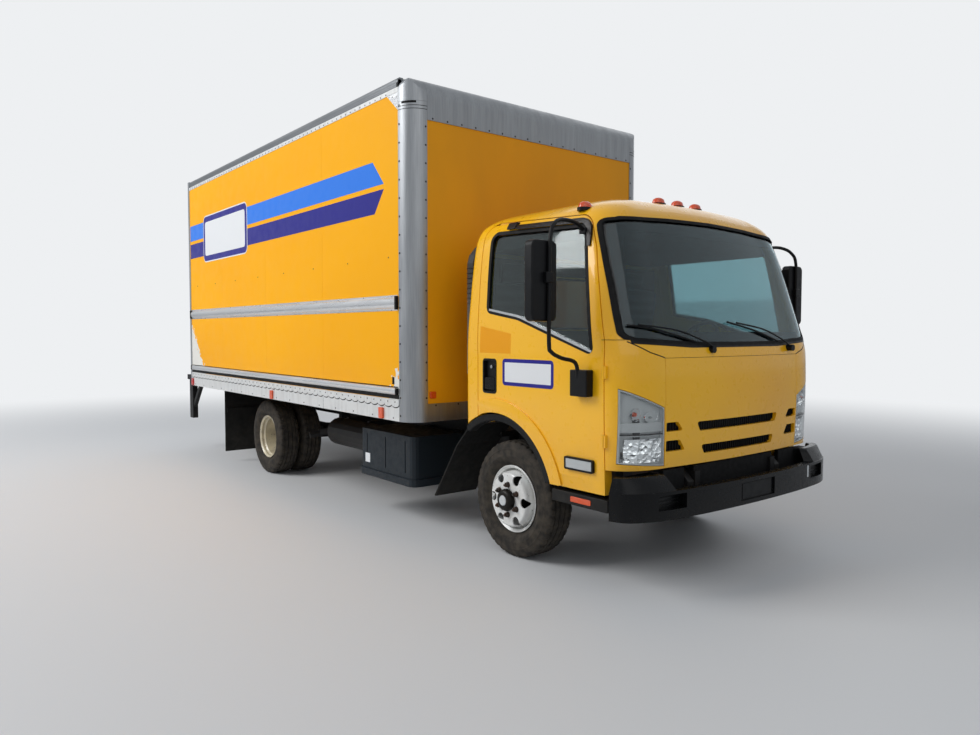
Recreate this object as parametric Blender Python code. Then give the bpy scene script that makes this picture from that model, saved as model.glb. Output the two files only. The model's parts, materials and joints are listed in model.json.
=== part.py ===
"""Box truck: a low-cab-forward chassis with tilting cab and a van body.

Metres. +X points forward, +Y to the vehicle's left, +Z up. Every shape is drawn from the middle of the
front axle on the ground, and one shift along X then puts the origin under the middle of the truck.
"""

import math

import bmesh
import bpy
from mathutils import Matrix, Vector

# Clearances
SEAT_GAP = 0.0003  # between solids that rest on each other
SHUT_GAP = 0.006  # round a door in its opening
PIN_GAP = 0.0005  # between a pin and its bore

# Running gear
WHEELBASE = 3.80
TYRE_RADIUS = 0.378
TYRE_WIDTH = 0.218
RIM_SEAT_RADIUS = 0.2055
RIM_FLANGE_RADIUS = 0.2185
RIM_HALF_WIDTH = 0.084
RIM_WALL = 0.008
DISC_OFFSET = 0.125  # from a wheel's middle plane to its mounting face
FRONT_WHEEL_Y = 0.834
TWIN_MIDDLE_Y = 0.818
STUD_COUNT = 6
HAND_HOLE_COUNT = 6
HAND_HOLE_RING = 0.145
HAND_HOLE_RADIUS = 0.021
DISC_FLAT_RADIUS = 0.168
KINGPIN_Y = 0.70
KINGPIN_RADIUS = 0.030
SPINDLE_RADIUS = 0.032
REAR_SPINDLE_RADIUS = 0.045
ROUND_STEPS = 24
HUB_STEPS = 14
PIN_STEPS = 16

# Chassis frame
RAIL_HALF_SPAN = 0.425  # to a rail's outer face
RAIL_TOP = 0.80
RAIL_DEPTH = 0.195
RAIL_FLANGE = 0.065
RAIL_WALL = 0.008
RAIL_FRONT_X = 0.98
RAIL_REAR_X = -5.60
SPRING_Y = 0.475
SPRING_WIDTH = 0.07

# Van body
BOX_FRONT_X = -0.76
BOX_REAR_X = -5.697
BOX_HALF_WIDTH = 1.218
BOX_BOTTOM = 0.817
BOX_TOP = 3.253
BOX_WALL = 0.045
CORNER_RADIUS = 0.146
NOSE_CAP_DEPTH = 0.303
NOSE_SILL_DEPTH = 0.130
FLOOR_TOP = 1.00
FLOOR_PLATE = 0.035
APRON_TOP = 0.976
APRON_STEP = 0.917
LOW_RAIL = (0.983, 1.060)
MID_RAIL = (1.620, 1.720)
TOP_RAIL_LOW = 3.150
RAIL_PROUD = 0.020
REAR_POST = 0.075
REAR_HEADER = 0.22
REAR_FRAME_DEPTH = 0.05
SLAT_HEIGHT = 0.255
DOOR_PANEL = 0.022
DOOR_SEAT_DROP = 0.004  # from the floor down to the sill under the door

# Rear step
STEP_REACH = 0.34
STEP_TOP = 0.93
STEP_DECK = 0.06
STEP_HALF = BOX_HALF_WIDTH - 0.058
STEP_POST_LOW = 0.39
STEP_POST_WIDTH = 0.06
STEP_POST_DEPTH = 0.12
STEP_BRACE_Z = (0.50, 0.57)

# Hung on the frame
FLAP_X = -4.72
FLAP_Y = (0.60, 1.15)
FLAP_Z = (0.12, 0.80)
FLAP_THICKNESS = 0.012
FLAP_BAR = 0.045
GUARD_Y = (0.56, 0.94)
GUARD_THICKNESS = 0.010
GUARD_BEND = ((-0.42, 0.82), (-0.58, 0.66), (-0.86, 0.25))  # x, z
BATTERY_X = (-1.85, -1.04)
BATTERY_Y = (0.56, 1.015)
BATTERY_Z = (0.335, 0.67)
BATTERY_CORNER = 0.05
BATTERY_GROOVE = 0.006
BATTERY_LIP = (0.290, 0.012)  # lowest z, reach beyond the cover
TANK_X = (-2.25, -1.15)
TANK_Y = (0.52, 0.98)
TANK_Z = (0.36, 0.74)
TANK_CORNER = 0.08
STRAP_WIDTH = 0.05
STRAP_THICKNESS = 0.006
SNORKEL_X = -0.47
SNORKEL_Y = -0.88
SNORKEL_Z = (1.17, 1.93)
SNORKEL_RADIUS = 0.045
SNORKEL_RIBS = 8
SNORKEL_FOOT = (-0.625, -0.61)  # x, y of the duct down to the rail
DUCT_RADIUS = 0.036

# Cab
CAB_REAR_X = -0.39
CAB_WALL = 0.045
CAB_FLOOR_TOP = 0.98
FLOOR_SIDE_GAP = 0.020  # from the wall to the floor, for the front edge of an opening door
FOOTWELL_TOP = 0.80
FOOTWELL_X = (0.495, 0.965)
TUNNEL_HALF = 0.46
CAB_FRONT_EDGE = 0.70
ENGINE_COVER_HALF = 0.33
ENGINE_COVER_TOP = 1.10
PANEL_HALF_WIDTH = 0.688
COWL_SEAM = 1.315
TILT_AXIS_X = 1.02
TILT_AXIS_Z = 0.56
TILT_PIN_RADIUS = 0.015
DOOR_HINGE_X = 0.866
DOOR_HINGE_Y = 1.006
ARCH_X = -0.08
ARCH_Z = 0.40
ARCH_RADIUS = 0.535
LINER_THICKNESS = 0.012
LINER_ARC = (32, 118)  # degrees of the wheel arch that the floor's liner covers
GLASS_THICKNESS = 0.006
GLASS_RECESS = 0.016

# Bumper
BUMPER_FRONT_X = 1.20
BUMPER_LOW = 0.445
BUMPER_TOP = 0.600
BUMPER_END_TOP = 0.678
BUMPER_THICKNESS = 0.055
BUMPER_END_LEAN = 0.40  # share by which the raised ends lean back

FRONT_AXLE_X = (STEP_REACH - BOX_REAR_X - BUMPER_FRONT_X) / 2

SIDES = (("left", 1), ("right", -1))

# Where each moving body turns: name, its parent, a point on its axis
BODIES = (
    ("chassis", None, (0.0, 0.0, 0.0)),
    ("cab", "chassis", (TILT_AXIS_X, 0.0, TILT_AXIS_Z)),
    ("door_left", "cab", (DOOR_HINGE_X, DOOR_HINGE_Y, 1.0)),
    ("door_right", "cab", (DOOR_HINGE_X, -DOOR_HINGE_Y, 1.0)),
    ("knuckle_left", "chassis", (0.0, KINGPIN_Y, TYRE_RADIUS)),
    ("knuckle_right", "chassis", (0.0, -KINGPIN_Y, TYRE_RADIUS)),
    ("front_wheel_left", "knuckle_left", (0.0, FRONT_WHEEL_Y, TYRE_RADIUS)),
    ("front_wheel_right", "knuckle_right", (0.0, -FRONT_WHEEL_Y, TYRE_RADIUS)),
    ("rear_wheels_left", "chassis", (-WHEELBASE, TWIN_MIDDLE_Y, TYRE_RADIUS)),
    ("rear_wheels_right", "chassis", (-WHEELBASE, -TWIN_MIDDLE_Y, TYRE_RADIUS)),
)

# Finishes: name, sRGB colour, metallic, roughness
FINISHES = {
    "yellow_paint": ("#F2A408", 0.0, 0.25),
    "aluminium": ("#C9CCCE", 1.0, 0.35),
    "black_plastic": ("#1B1C1E", 0.0, 0.5),
    "chassis_black": ("#17181A", 0.0, 0.45),
    "cast_iron": ("#3A3B3D", 0.8, 0.6),
    "steel_white": ("#D9D9D6", 0.0, 0.35),
    "tyre_rubber": ("#1A1A1A", 0.0, 0.8),
    "glass": ("#16211F", 0.0, 0.05),
    "lamp": ("#C8CCCC", 0.2, 0.1),
    "seat_fabric": ("#4A4C50", 0.0, 0.9),
    "plywood": ("#A98A60", 0.0, 0.7),
    "white_panel": ("#DEDFDC", 0.0, 0.4),
}


def linear(hex_colour):
    """The linear RGBA of an sRGB hex colour."""
    channels = [int(hex_colour[i : i + 2], 16) / 255 for i in (1, 3, 5)]
    return [c / 12.92 if c <= 0.04045 else ((c + 0.055) / 1.055) ** 2.4 for c in channels] + [1.0]


def make_material(name, colour, metallic, roughness):
    material = bpy.data.materials.new(name)
    material.use_nodes = True
    shader = material.node_tree.nodes["Principled BSDF"]
    shader.inputs["Base Color"].default_value = linear(colour)
    shader.inputs["Metallic"].default_value = metallic
    shader.inputs["Roughness"].default_value = roughness
    material.diffuse_color = linear(colour)
    return material


def as_object(bm):
    """A working object from a bmesh, faces out."""
    bmesh.ops.remove_doubles(bm, verts=bm.verts, dist=1e-6)
    bmesh.ops.recalc_face_normals(bm, faces=bm.faces)
    mesh = bpy.data.meshes.new("work")
    bm.to_mesh(mesh)
    bm.free()
    work = bpy.data.objects.new("work", mesh)
    bpy.context.collection.objects.link(work)
    return work


def block(x, y, z):
    """A box between two values on each axis."""
    bm = bmesh.new()
    bmesh.ops.create_cube(bm, size=1.0)
    for vert in bm.verts:
        vert.co = [low + (c + 0.5) * (high - low) for c, (low, high) in zip(vert.co, (x, y, z))]
    return as_object(bm)


PLACES = {
    "X": lambda a, b, t: (t, a, b),
    "Y": lambda a, b, t: (a, t, b),
    "Z": lambda a, b, t: (a, b, t),
}


def skin_rings(bm, rings, closed=False):
    """Faces between rings of vertices, with the ends capped or joined to each other."""
    pairs = list(zip(rings, rings[1:])) + ([(rings[-1], rings[0])] if closed else [])
    for first, second in pairs:
        for i in range(len(first)):
            bm.faces.new((first[i], first[i - 1], second[i - 1], second[i]))
    if not closed:
        bm.faces.new(rings[0])
        bm.faces.new(rings[-1][::-1])


def prism(outline, span, axis):
    """A flat outline carried along an axis from span[0] to span[1]."""
    bm = bmesh.new()
    place = PLACES[axis]
    skin_rings(bm, [[bm.verts.new(place(a, b, t)) for a, b in outline] for t in span])
    return as_object(bm)


def loft(rings):
    """A solid through rings with equally many points."""
    bm = bmesh.new()
    skin_rings(bm, [[bm.verts.new(point) for point in ring] for ring in rings])
    return as_object(bm)


def turned(profile, centre, axis="Y", ring=True, steps=ROUND_STEPS):
    """A profile of (radius, distance along the axis) turned round it, as a ring or as a capped solid."""
    bm = bmesh.new()
    place = PLACES[axis]
    rings = []
    for radius, along in profile:
        circle = []
        for step in range(steps):
            angle = 2 * math.pi * step / steps
            circle.append(bm.verts.new(place(radius * math.cos(angle), radius * math.sin(angle), along)))
        rings.append(circle)
    skin_rings(bm, rings, closed=ring)
    bmesh.ops.translate(bm, verts=bm.verts, vec=centre)
    return as_object(bm)


def bore_radius(radius, steps):
    """Radius of a faceted bore whose flats clear a pin of the given radius."""
    return (radius + PIN_GAP) / math.cos(math.pi / steps)


def rod(radius, centre, span, axis, steps=12):
    """A round bar about centre, from span[0] to span[1] along the axis."""
    return turned([(radius, span[0]), (radius, span[1])], centre, axis, ring=False, steps=steps)


def pipe(points, radius, resolution=1):
    """A round tube, solid, through the points."""
    curve = bpy.data.curves.new("pipe", "CURVE")
    curve.dimensions = "3D"
    curve.bevel_depth = radius
    curve.bevel_resolution = resolution
    curve.use_fill_caps = True
    spline = curve.splines.new("POLY")
    spline.points.add(len(points) - 1)
    for target, point in zip(spline.points, points):
        target.co = (*point, 1.0)
    guide = bpy.data.objects.new("pipe", curve)
    bpy.context.collection.objects.link(guide)
    bpy.context.view_layer.update()
    bm = bmesh.new()
    bm.from_mesh(guide.to_mesh())
    guide.to_mesh_clear()
    bpy.data.objects.remove(guide)
    bpy.data.curves.remove(curve)
    return as_object(bm)


def combine(operation, target, others):
    """Applies a Boolean of each other object to the target, and deletes the others."""
    for other in others:
        step = target.modifiers.new(operation, "BOOLEAN")
        step.operation = operation
        step.solver = "EXACT"
        step.object = other
        graph = bpy.context.evaluated_depsgraph_get()
        result = bpy.data.meshes.new_from_object(target.evaluated_get(graph))
        target.modifiers.clear()
        target.data = result
        bpy.data.objects.remove(other)
    return target


def fuse(target, *others):
    return combine("UNION", target, others)


def cut(target, *others):
    return combine("DIFFERENCE", target, others)


def common(target, *others):
    return combine("INTERSECT", target, others)


def grow(outline, distance):
    """The outline with each edge moved outwards by the distance."""
    area = sum(a[0] * b[1] - b[0] * a[1] for a, b in zip(outline, outline[1:] + outline[:1]))
    turn = 1 if area > 0 else -1
    grown = []
    for i, point in enumerate(outline):
        before, after = Vector(outline[i - 1]), Vector(outline[(i + 1) % len(outline)])
        here = Vector(point)
        first, second = (here - before).normalized(), (after - here).normalized()
        normal_a = Vector((first.y, -first.x)) * turn
        normal_b = Vector((second.y, -second.x)) * turn
        mitre = (normal_a + normal_b).normalized()
        grown.append(tuple(here + mitre * (distance / max(0.3, mitre.dot(normal_a)))))
    return grown


def arc(centre, radius, start, end, steps):
    """Points on an arc, angles in degrees."""
    return [
        (
            centre[0] + radius * math.cos(math.radians(start + (end - start) * i / steps)),
            centre[1] + radius * math.sin(math.radians(start + (end - start) * i / steps)),
        )
        for i in range(steps + 1)
    ]


def rounded(outline, radii, steps=4):
    """The outline with corner i rounded by radii[i]."""
    points = []
    for i, (corner, radius) in enumerate(zip(outline, radii)):
        here = Vector(corner)
        if radius == 0:
            points.append(corner)
            continue
        before = (Vector(outline[i - 1]) - here).normalized()
        after = (Vector(outline[(i + 1) % len(outline)]) - here).normalized()
        half = before.angle(after) / 2
        reach = radius / math.tan(half)
        centre = here + (before + after).normalized() * (radius / math.sin(half))
        first, last = here + before * reach - centre, here + after * reach - centre
        for step in range(steps + 1):
            share = step / steps
            between = first.slerp(last, share)
            points.append(tuple(centre + between.normalized() * radius))
    return points


def mirrored(x, y, z, side):
    """A block whose Y range is given for the left side."""
    low, high = sorted((y[0] * side, y[1] * side))
    return block(x, (low, high), z)


class Truck:
    """Keeps the empties that carry the bodies, and places each finished solid on its body."""

    def __init__(self):
        self.empties = {}
        self.pivots = {}
        self.materials = {name: make_material(name, *look) for name, look in FINISHES.items()}
        for name, parent, pivot in BODIES:
            empty = bpy.data.objects.new(f"{name}_axis", None)
            bpy.context.collection.objects.link(empty)
            start = Vector(self.pivots[parent]) if parent else Vector((-FRONT_AXLE_X, 0, 0))
            empty.parent = self.empties.get(parent)
            empty.location = Vector(pivot) - start
            self.empties[name] = empty
            self.pivots[name] = pivot

    def add(self, name, solid, finish, body, smooth=True):
        """Names a solid, gives it its finish and hangs it on its body."""
        bm = bmesh.new()
        bm.from_mesh(solid.data)
        bmesh.ops.remove_doubles(bm, verts=bm.verts, dist=2e-5)
        bmesh.ops.dissolve_limit(bm, angle_limit=0.002, verts=bm.verts, edges=bm.edges)
        bmesh.ops.translate(bm, verts=bm.verts, vec=-Vector(self.pivots[body]))
        bm.to_mesh(solid.data)
        bm.free()
        solid.name = solid.data.name = name
        solid.data.materials.clear()
        solid.data.materials.append(self.materials[finish])
        if smooth:
            solid.data.shade_smooth()
            solid.data.set_sharp_from_angle(angle=math.radians(30))
        solid.parent = self.empties[body]
        return solid


# Wheels

# Tyre section: radius, distance from the middle plane as a share of half the tyre's width
TYRE_SECTION = (
    (0.2065, -0.66),
    (0.2225, -0.66),
    (0.2800, -1.00),
    (0.3500, -0.91),
    (0.3780, -0.62),
    (0.3780, 0.62),
    (0.3500, 0.91),
    (0.2800, 1.00),
    (0.2225, 0.66),
    (0.2065, 0.66),
)


def tyre(y):
    scale = TYRE_RADIUS / max(radius for radius, _ in TYRE_SECTION)
    profile = [
        (max(radius * scale, RIM_SEAT_RADIUS + SEAT_GAP * 3), share * TYRE_WIDTH / 2)
        for radius, share in TYRE_SECTION
    ]
    return profile, y


def rim_barrel():
    """Section of the rim's barrel and flanges, from its outer flange round to its inner one."""
    seat, flange, half = RIM_SEAT_RADIUS, RIM_FLANGE_RADIUS, RIM_HALF_WIDTH
    tyre_side = TYRE_WIDTH / 2 * 0.66 + SEAT_GAP * 3
    return [
        (flange, half),
        (flange, tyre_side + 0.004),
        (seat, tyre_side),
        (seat, -tyre_side),
        (flange, -tyre_side - 0.004),
        (flange, -half),
        (seat - RIM_WALL, -half + 0.004),
    ]


def wheel_disc(bore, face_shift):
    """Section of a wheel from its inner flange back to its outer one, with the dished disc between."""
    face = DISC_OFFSET + face_shift
    inside = RIM_SEAT_RADIUS - RIM_WALL
    return rim_barrel() + [
        (inside, 0.012),
        (DISC_FLAT_RADIUS + 0.018, face - 0.050),
        (DISC_FLAT_RADIUS, face - RIM_WALL),
        (bore, face - RIM_WALL),
        (bore, face),
        (DISC_FLAT_RADIUS, face),
        (DISC_FLAT_RADIUS + 0.024, face - 0.045),
        (inside, 0.030),
        (inside, RIM_HALF_WIDTH - 0.004),
    ]


def hand_holes(y_span, x):
    """Cutters for the round holes near the rim."""
    holes = []
    for number in range(HAND_HOLE_COUNT):
        angle = 2 * math.pi * (number + 0.5) / HAND_HOLE_COUNT
        across, up = HAND_HOLE_RING * math.cos(angle), HAND_HOLE_RING * math.sin(angle)
        holes.append(rod(HAND_HOLE_RADIUS, (x + across, 0, TYRE_RADIUS + up), y_span, "Y", steps=10))
    return holes


def front_wheel(side):
    """Steel disc wheel with its hub, its flat face to the outside."""
    centre = (0, side * FRONT_WHEEL_Y, TYRE_RADIUS)
    bore = 0.062
    profile = [(radius, side * out) for radius, out in wheel_disc(bore, RIM_WALL)]
    wheel = turned(profile, centre)
    hole_y = sorted(side * (FRONT_WHEEL_Y + out) for out in (0.02, 0.2))
    cut(wheel, *hand_holes(hole_y, 0.0))
    inner = FRONT_WHEEL_Y - KINGPIN_Y
    spindle_bore = bore_radius(SPINDLE_RADIUS, HUB_STEPS)
    hub = [
        (spindle_bore, -side * (inner - 0.100)),
        (0.150, -side * (inner - 0.100)),
        (0.150, -side * 0.004),
        (0.095, side * 0.010),
        (0.085, side * (DISC_OFFSET + 0.0005)),
        (0.068, side * (DISC_OFFSET + 0.0005)),
        (0.064, side * (DISC_OFFSET + 0.030)),
        (0.050, side * (DISC_OFFSET + 0.048)),
        (spindle_bore, side * (DISC_OFFSET + 0.048)),
    ]
    return fuse(wheel, turned(hub, centre, steps=HUB_STEPS))


def rear_wheels(side):
    """Two steel disc wheels bolted face to face, on one hub and drum."""
    twin = None
    for direction in (1, -1):
        centre = (-WHEELBASE, side * (TWIN_MIDDLE_Y + direction * DISC_OFFSET), TYRE_RADIUS)
        profile = [(radius, -side * direction * out) for radius, out in wheel_disc(0.070, 0.0005)]
        wheel = turned(profile, centre)
        if direction == 1:
            span = sorted(centre[1] - side * out for out in (0.02, 0.2))
            cut(wheel, *hand_holes(span, -WHEELBASE))
        twin = fuse(twin, wheel) if twin else wheel
    middle = (-WHEELBASE, side * TWIN_MIDDLE_Y, TYRE_RADIUS)
    bore = bore_radius(REAR_SPINDLE_RADIUS, HUB_STEPS)
    drum = [
        (bore, -side * 0.205),
        (0.150, -side * 0.205),
        (0.150, -side * 0.070),
        (0.100, -side * 0.055),
        (0.073, -side * 0.004),
        (0.071, side * 0.070),
        (0.060, side * 0.085),
        (bore, side * 0.085),
    ]
    return fuse(twin, turned(drum, middle, steps=HUB_STEPS))


def add_wheels(truck):
    for name, side in SIDES:
        profile, y = tyre(side * FRONT_WHEEL_Y)
        solid = turned(profile, (0, y, TYRE_RADIUS))
        truck.add(f"tyre_front_{name}", solid, "tyre_rubber", f"front_wheel_{name}")
        truck.add(f"wheel_front_{name}", front_wheel(side), "steel_white", f"front_wheel_{name}")
        for place, direction in (("outer", 1), ("inner", -1)):
            profile, y = tyre(side * (TWIN_MIDDLE_Y + direction * DISC_OFFSET))
            solid = turned(profile, (-WHEELBASE, y, TYRE_RADIUS))
            truck.add(f"tyre_rear_{name}_{place}", solid, "tyre_rubber", f"rear_wheels_{name}")
        truck.add(f"wheels_rear_{name}", rear_wheels(side), "steel_white", f"rear_wheels_{name}")


# Axles and steering

BOSS_HALF_HEIGHT = 0.050
AXLE_BEAM_Z = 0.335


def leaf_pack(x, low, side, half_length, drop):
    """A bowed pack of leaves, thick at the middle, with its eyes up at the rails."""
    top, bottom = [], []
    steps = 8
    for i in range(steps + 1):
        share = -1 + 2 * i / steps
        height = low + drop * share * share
        top.append((x + half_length * share, height + 0.016 + 0.030 * (1 - abs(share))))
        bottom.append((x + half_length * share, height))
    y = sorted(side * (SPRING_Y + w * SPRING_WIDTH / 2) for w in (-1, 1))
    return prism(bottom + top[::-1], y, "Y")


def spring_hanger(x, low, side):
    """A bracket from a rail's side down to a spring eye."""
    z = (low, RAIL_TOP - RAIL_DEPTH + 0.09)
    inner = RAIL_HALF_SPAN + SEAT_GAP
    return mirrored((x - 0.03, x + 0.03), (inner, SPRING_Y + SPRING_WIDTH / 2), z, side)


# Leaf packs: the axle's x, lowest z, half length, drop, hanger height, hanger distance
SPRINGS = {
    "front": (0.0, 0.410, 0.56, 0.135, 0.535, 0.55),
    "rear": (-WHEELBASE, 0.450, 0.62, 0.110, 0.550, 0.61),
}


def spring(place, side):
    """A leaf pack with its two hangers."""
    x, low, half_length, drop, hanger_low, hanger_reach = SPRINGS[place]
    pack = leaf_pack(x, low, side, half_length, drop)
    return fuse(pack, *[spring_hanger(x + way * hanger_reach, hanger_low, side) for way in (-1, 1)])


def front_axle():
    """Dropped beam with a boss for each kingpin and a pad for each spring."""
    half = KINGPIN_Y
    beam = block((-0.035, 0.035), (-0.60, 0.60), (AXLE_BEAM_Z - 0.035, AXLE_BEAM_Z + 0.035))
    for side in (1, -1):
        rise = [
            (side * 0.58, AXLE_BEAM_Z - 0.034),
            (side * 0.58, AXLE_BEAM_Z + 0.034),
            (side * half, TYRE_RADIUS + 0.03),
            (side * half, TYRE_RADIUS - 0.03),
        ]
        boss = rod(
            KINGPIN_RADIUS,
            (0, side * half, TYRE_RADIUS),
            (-BOSS_HALF_HEIGHT, BOSS_HALF_HEIGHT),
            "Z",
        )
        pad_y = (SPRING_Y - 0.045, SPRING_Y + 0.045)
        pad_z = (AXLE_BEAM_Z + 0.03, SPRINGS["front"][1] - SEAT_GAP)
        pad = mirrored((-0.06, 0.06), pad_y, pad_z, side)
        fuse(beam, prism(rise, (-0.03, 0.03), "X"), boss, pad)
    return beam


def knuckle(side):
    """Yoke over and under the kingpin boss, with the spindle outside it."""
    centre = (0, side * KINGPIN_Y, TYRE_RADIUS)
    low, high = BOSS_HALF_HEIGHT + SEAT_GAP, BOSS_HALF_HEIGHT + 0.024
    top = rod(0.036, centre, (low, high), "Z")
    bottom = rod(0.036, centre, (-high, -low), "Z")
    web_y = (KINGPIN_Y + KINGPIN_RADIUS + 0.012, KINGPIN_Y + 0.066)
    web = mirrored((-0.032, 0.032), web_y, (TYRE_RADIUS - high, TYRE_RADIUS + high), side)
    ears = [
        mirrored(
            (-0.030, 0.030),
            (KINGPIN_Y, KINGPIN_Y + 0.05),
            (TYRE_RADIUS + a, TYRE_RADIUS + b),
            side,
        )
        for a, b in ((low, high), (-high, -low))
    ]
    reach = FRONT_WHEEL_Y + DISC_OFFSET + 0.03
    spindle = rod(
        SPINDLE_RADIUS,
        (0, 0, TYRE_RADIUS),
        sorted((side * (KINGPIN_Y + 0.06), side * reach)),
        "Y",
    )
    return fuse(web, *ears, top, bottom, spindle)


def rear_axle():
    """Banjo housing with its differential, spindles and spring pads."""
    centre = (-WHEELBASE, 0, TYRE_RADIUS)
    half = TWIN_MIDDLE_Y - 0.23
    housing = [
        (0.055, -half),
        (0.065, -0.22),
        (0.150, -0.10),
        (0.165, 0.0),
        (0.150, 0.10),
        (0.065, 0.22),
        (0.055, half),
    ]
    axle = turned(housing, centre, ring=False, steps=14)
    for side in (1, -1):
        tip = sorted((side * (half - 0.01), side * (TWIN_MIDDLE_Y + 0.078)))
        spindle = rod(REAR_SPINDLE_RADIUS, centre, tip, "Y")
        pad_y = (SPRING_Y - 0.042, SPRING_Y + 0.042)
        pad_x = (-WHEELBASE - 0.07, -WHEELBASE + 0.07)
        pad = mirrored(pad_x, pad_y, (TYRE_RADIUS + 0.03, SPRINGS["rear"][1] - SEAT_GAP), side)
        fuse(axle, spindle, pad)
    nose = rod(0.07, (0, 0, TYRE_RADIUS), (-WHEELBASE + 0.1, -WHEELBASE + 0.27), "X")
    return fuse(axle, nose)


def add_axles(truck):
    truck.add("front_axle", front_axle(), "chassis_black", "chassis")
    truck.add("rear_axle", rear_axle(), "chassis_black", "chassis")
    for name, side in SIDES:
        truck.add(f"front_spring_{name}", spring("front", side), "chassis_black", "chassis")
        truck.add(f"rear_spring_{name}", spring("rear", side), "chassis_black", "chassis")
        truck.add(f"knuckle_{name}", knuckle(side), "cast_iron", f"knuckle_{name}")


# Chassis

CROSSMEMBER_X = (0.62, -1.40, -2.20, -3.08, -4.52, -5.55)


def frame_rails():
    """Two channel rails, open to the inside, with crossmembers and the cab's hinge lugs."""
    low, high = RAIL_TOP - RAIL_DEPTH, RAIL_TOP
    outer, inner = RAIL_HALF_SPAN, RAIL_HALF_SPAN - RAIL_FLANGE
    ladder = None
    for side in (1, -1):
        channel = [
            (side * outer, low),
            (side * outer, high),
            (side * inner, high),
            (side * inner, high - RAIL_WALL),
            (side * (outer - RAIL_WALL), high - RAIL_WALL),
            (side * (outer - RAIL_WALL), low + RAIL_WALL),
            (side * inner, low + RAIL_WALL),
            (side * inner, low),
        ]
        rail = prism(channel, (RAIL_REAR_X, RAIL_FRONT_X), "X")
        lug = mirrored(
            (0.90, TILT_AXIS_X + 0.03), (outer - 0.05, outer - 0.002), (TILT_AXIS_Z - 0.03, low + 0.05), side
        )
        pin = rod(
            TILT_PIN_RADIUS,
            (TILT_AXIS_X, 0, TILT_AXIS_Z),
            sorted((side * (outer - 0.02), side * (outer + 0.066))),
            "Y",
            steps=PIN_STEPS,
        )
        fuse(rail, lug, pin)
        if ladder is None:
            ladder = rail
            span = outer - RAIL_WALL / 2
            for x in CROSSMEMBER_X:
                ladder = fuse(
                    ladder, block((x - 0.035, x + 0.035), (-span, span), (low + 0.03, high - 0.03))
                )
        else:
            fuse(ladder, rail)
    return ladder


def engine_block():
    """Engine as one plain block between the rails, on two mounts."""
    body = block((-0.42, 0.40), (-0.27, 0.27), (0.48, 1.04))
    sump = block((-0.30, 0.20), (-0.16, 0.16), (0.40, 0.49))
    inner = RAIL_HALF_SPAN - RAIL_WALL - SEAT_GAP
    mounts = block((-0.06, 0.06), (-inner, inner), (0.66, 0.72))
    return fuse(body, sump, mounts)


def gearbox_and_shaft():
    """Gearbox behind the engine, and the shaft to the rear axle's nose."""
    start = -0.42 - SEAT_GAP
    case = [
        (0.20, start),
        (0.20, start - 0.14),
        (0.12, start - 0.24),
        (0.11, start - 0.52),
        (0.05, start - 0.60),
    ]
    box = turned(case, (0, 0, 0.62), "X", ring=False, steps=16)
    shaft = pipe(
        [
            (start - 0.55, 0, 0.62),
            (-WHEELBASE + 0.27 + SEAT_GAP + 0.05, 0, TYRE_RADIUS + 0.012),
        ],
        0.042,
        resolution=2,
    )
    joint = rod(0.055, (0, 0, TYRE_RADIUS), (-WHEELBASE + 0.27 + SEAT_GAP, -WHEELBASE + 0.36), "X")
    return fuse(box, shaft, joint)


def fuel_tank():
    """Rounded tank on the left rail, with two strap brackets."""
    corners = [(TANK_Y[0], TANK_Z[0]), (TANK_Y[1], TANK_Z[0]), (TANK_Y[1], TANK_Z[1]), (TANK_Y[0], TANK_Z[1])]
    outline = rounded(corners, [TANK_CORNER] * 4, steps=3)
    tank = prism(outline, TANK_X, "X")
    inner = RAIL_HALF_SPAN + SEAT_GAP
    length = TANK_X[1] - TANK_X[0]
    for share in (0.18, 0.82):
        x = TANK_X[0] + length * share
        strap_x = (x - STRAP_WIDTH / 2, x + STRAP_WIDTH / 2)
        strap = prism(grow(outline, STRAP_THICKNESS), strap_x, "X")
        bracket = block(strap_x, (inner, TANK_Y[0] + TANK_CORNER), (TANK_Z[1] - 0.10, TANK_Z[1]))
        fuse(tank, strap, bracket)
    neck = rod(0.045, (TANK_X[1] - 0.10, TANK_Y[1] - TANK_CORNER, TANK_Z[1]), (-0.04, 0.025), "Z", steps=12)
    return fuse(tank, neck)


def battery_box():
    """Battery cover on the right rail, its face grooved into panels, on a tray with a lip."""
    plan = [
        (BATTERY_X[0], -BATTERY_Y[0]),
        (BATTERY_X[0], -BATTERY_Y[1]),
        (BATTERY_X[1], -BATTERY_Y[1]),
        (BATTERY_X[1], -BATTERY_Y[0]),
    ]
    plan = rounded(plan, [0, BATTERY_CORNER, BATTERY_CORNER, 0], steps=3)
    cover = prism(plan, BATTERY_Z, "Z")
    lip_low, lip_reach = BATTERY_LIP
    fuse(cover, prism(grow(plan, lip_reach), (lip_low, BATTERY_Z[0] + 0.01), "Z"))
    inner = RAIL_HALF_SPAN + SEAT_GAP
    length = BATTERY_X[1] - BATTERY_X[0]
    face_y = (-BATTERY_Y[1] - 0.02, BATTERY_GROOVE - BATTERY_Y[1])
    groove_z = (BATTERY_Z[0] + 0.05, BATTERY_Z[1] - 0.04)
    for share in (0.14, 0.50, 0.86):
        x = BATTERY_X[0] + length * share
        cut(cover, block((x - BATTERY_GROOVE, x + BATTERY_GROOVE), face_y, groove_z))
    for share in (0.25, 0.75):
        x = BATTERY_X[0] + length * share
        arm_z = (BATTERY_Z[1] - 0.05, BATTERY_Z[1] - 0.005)
        fuse(cover, block((x - 0.03, x + 0.03), (-BATTERY_Y[0] - 0.06, -inner), arm_z))
    return cover


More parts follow.
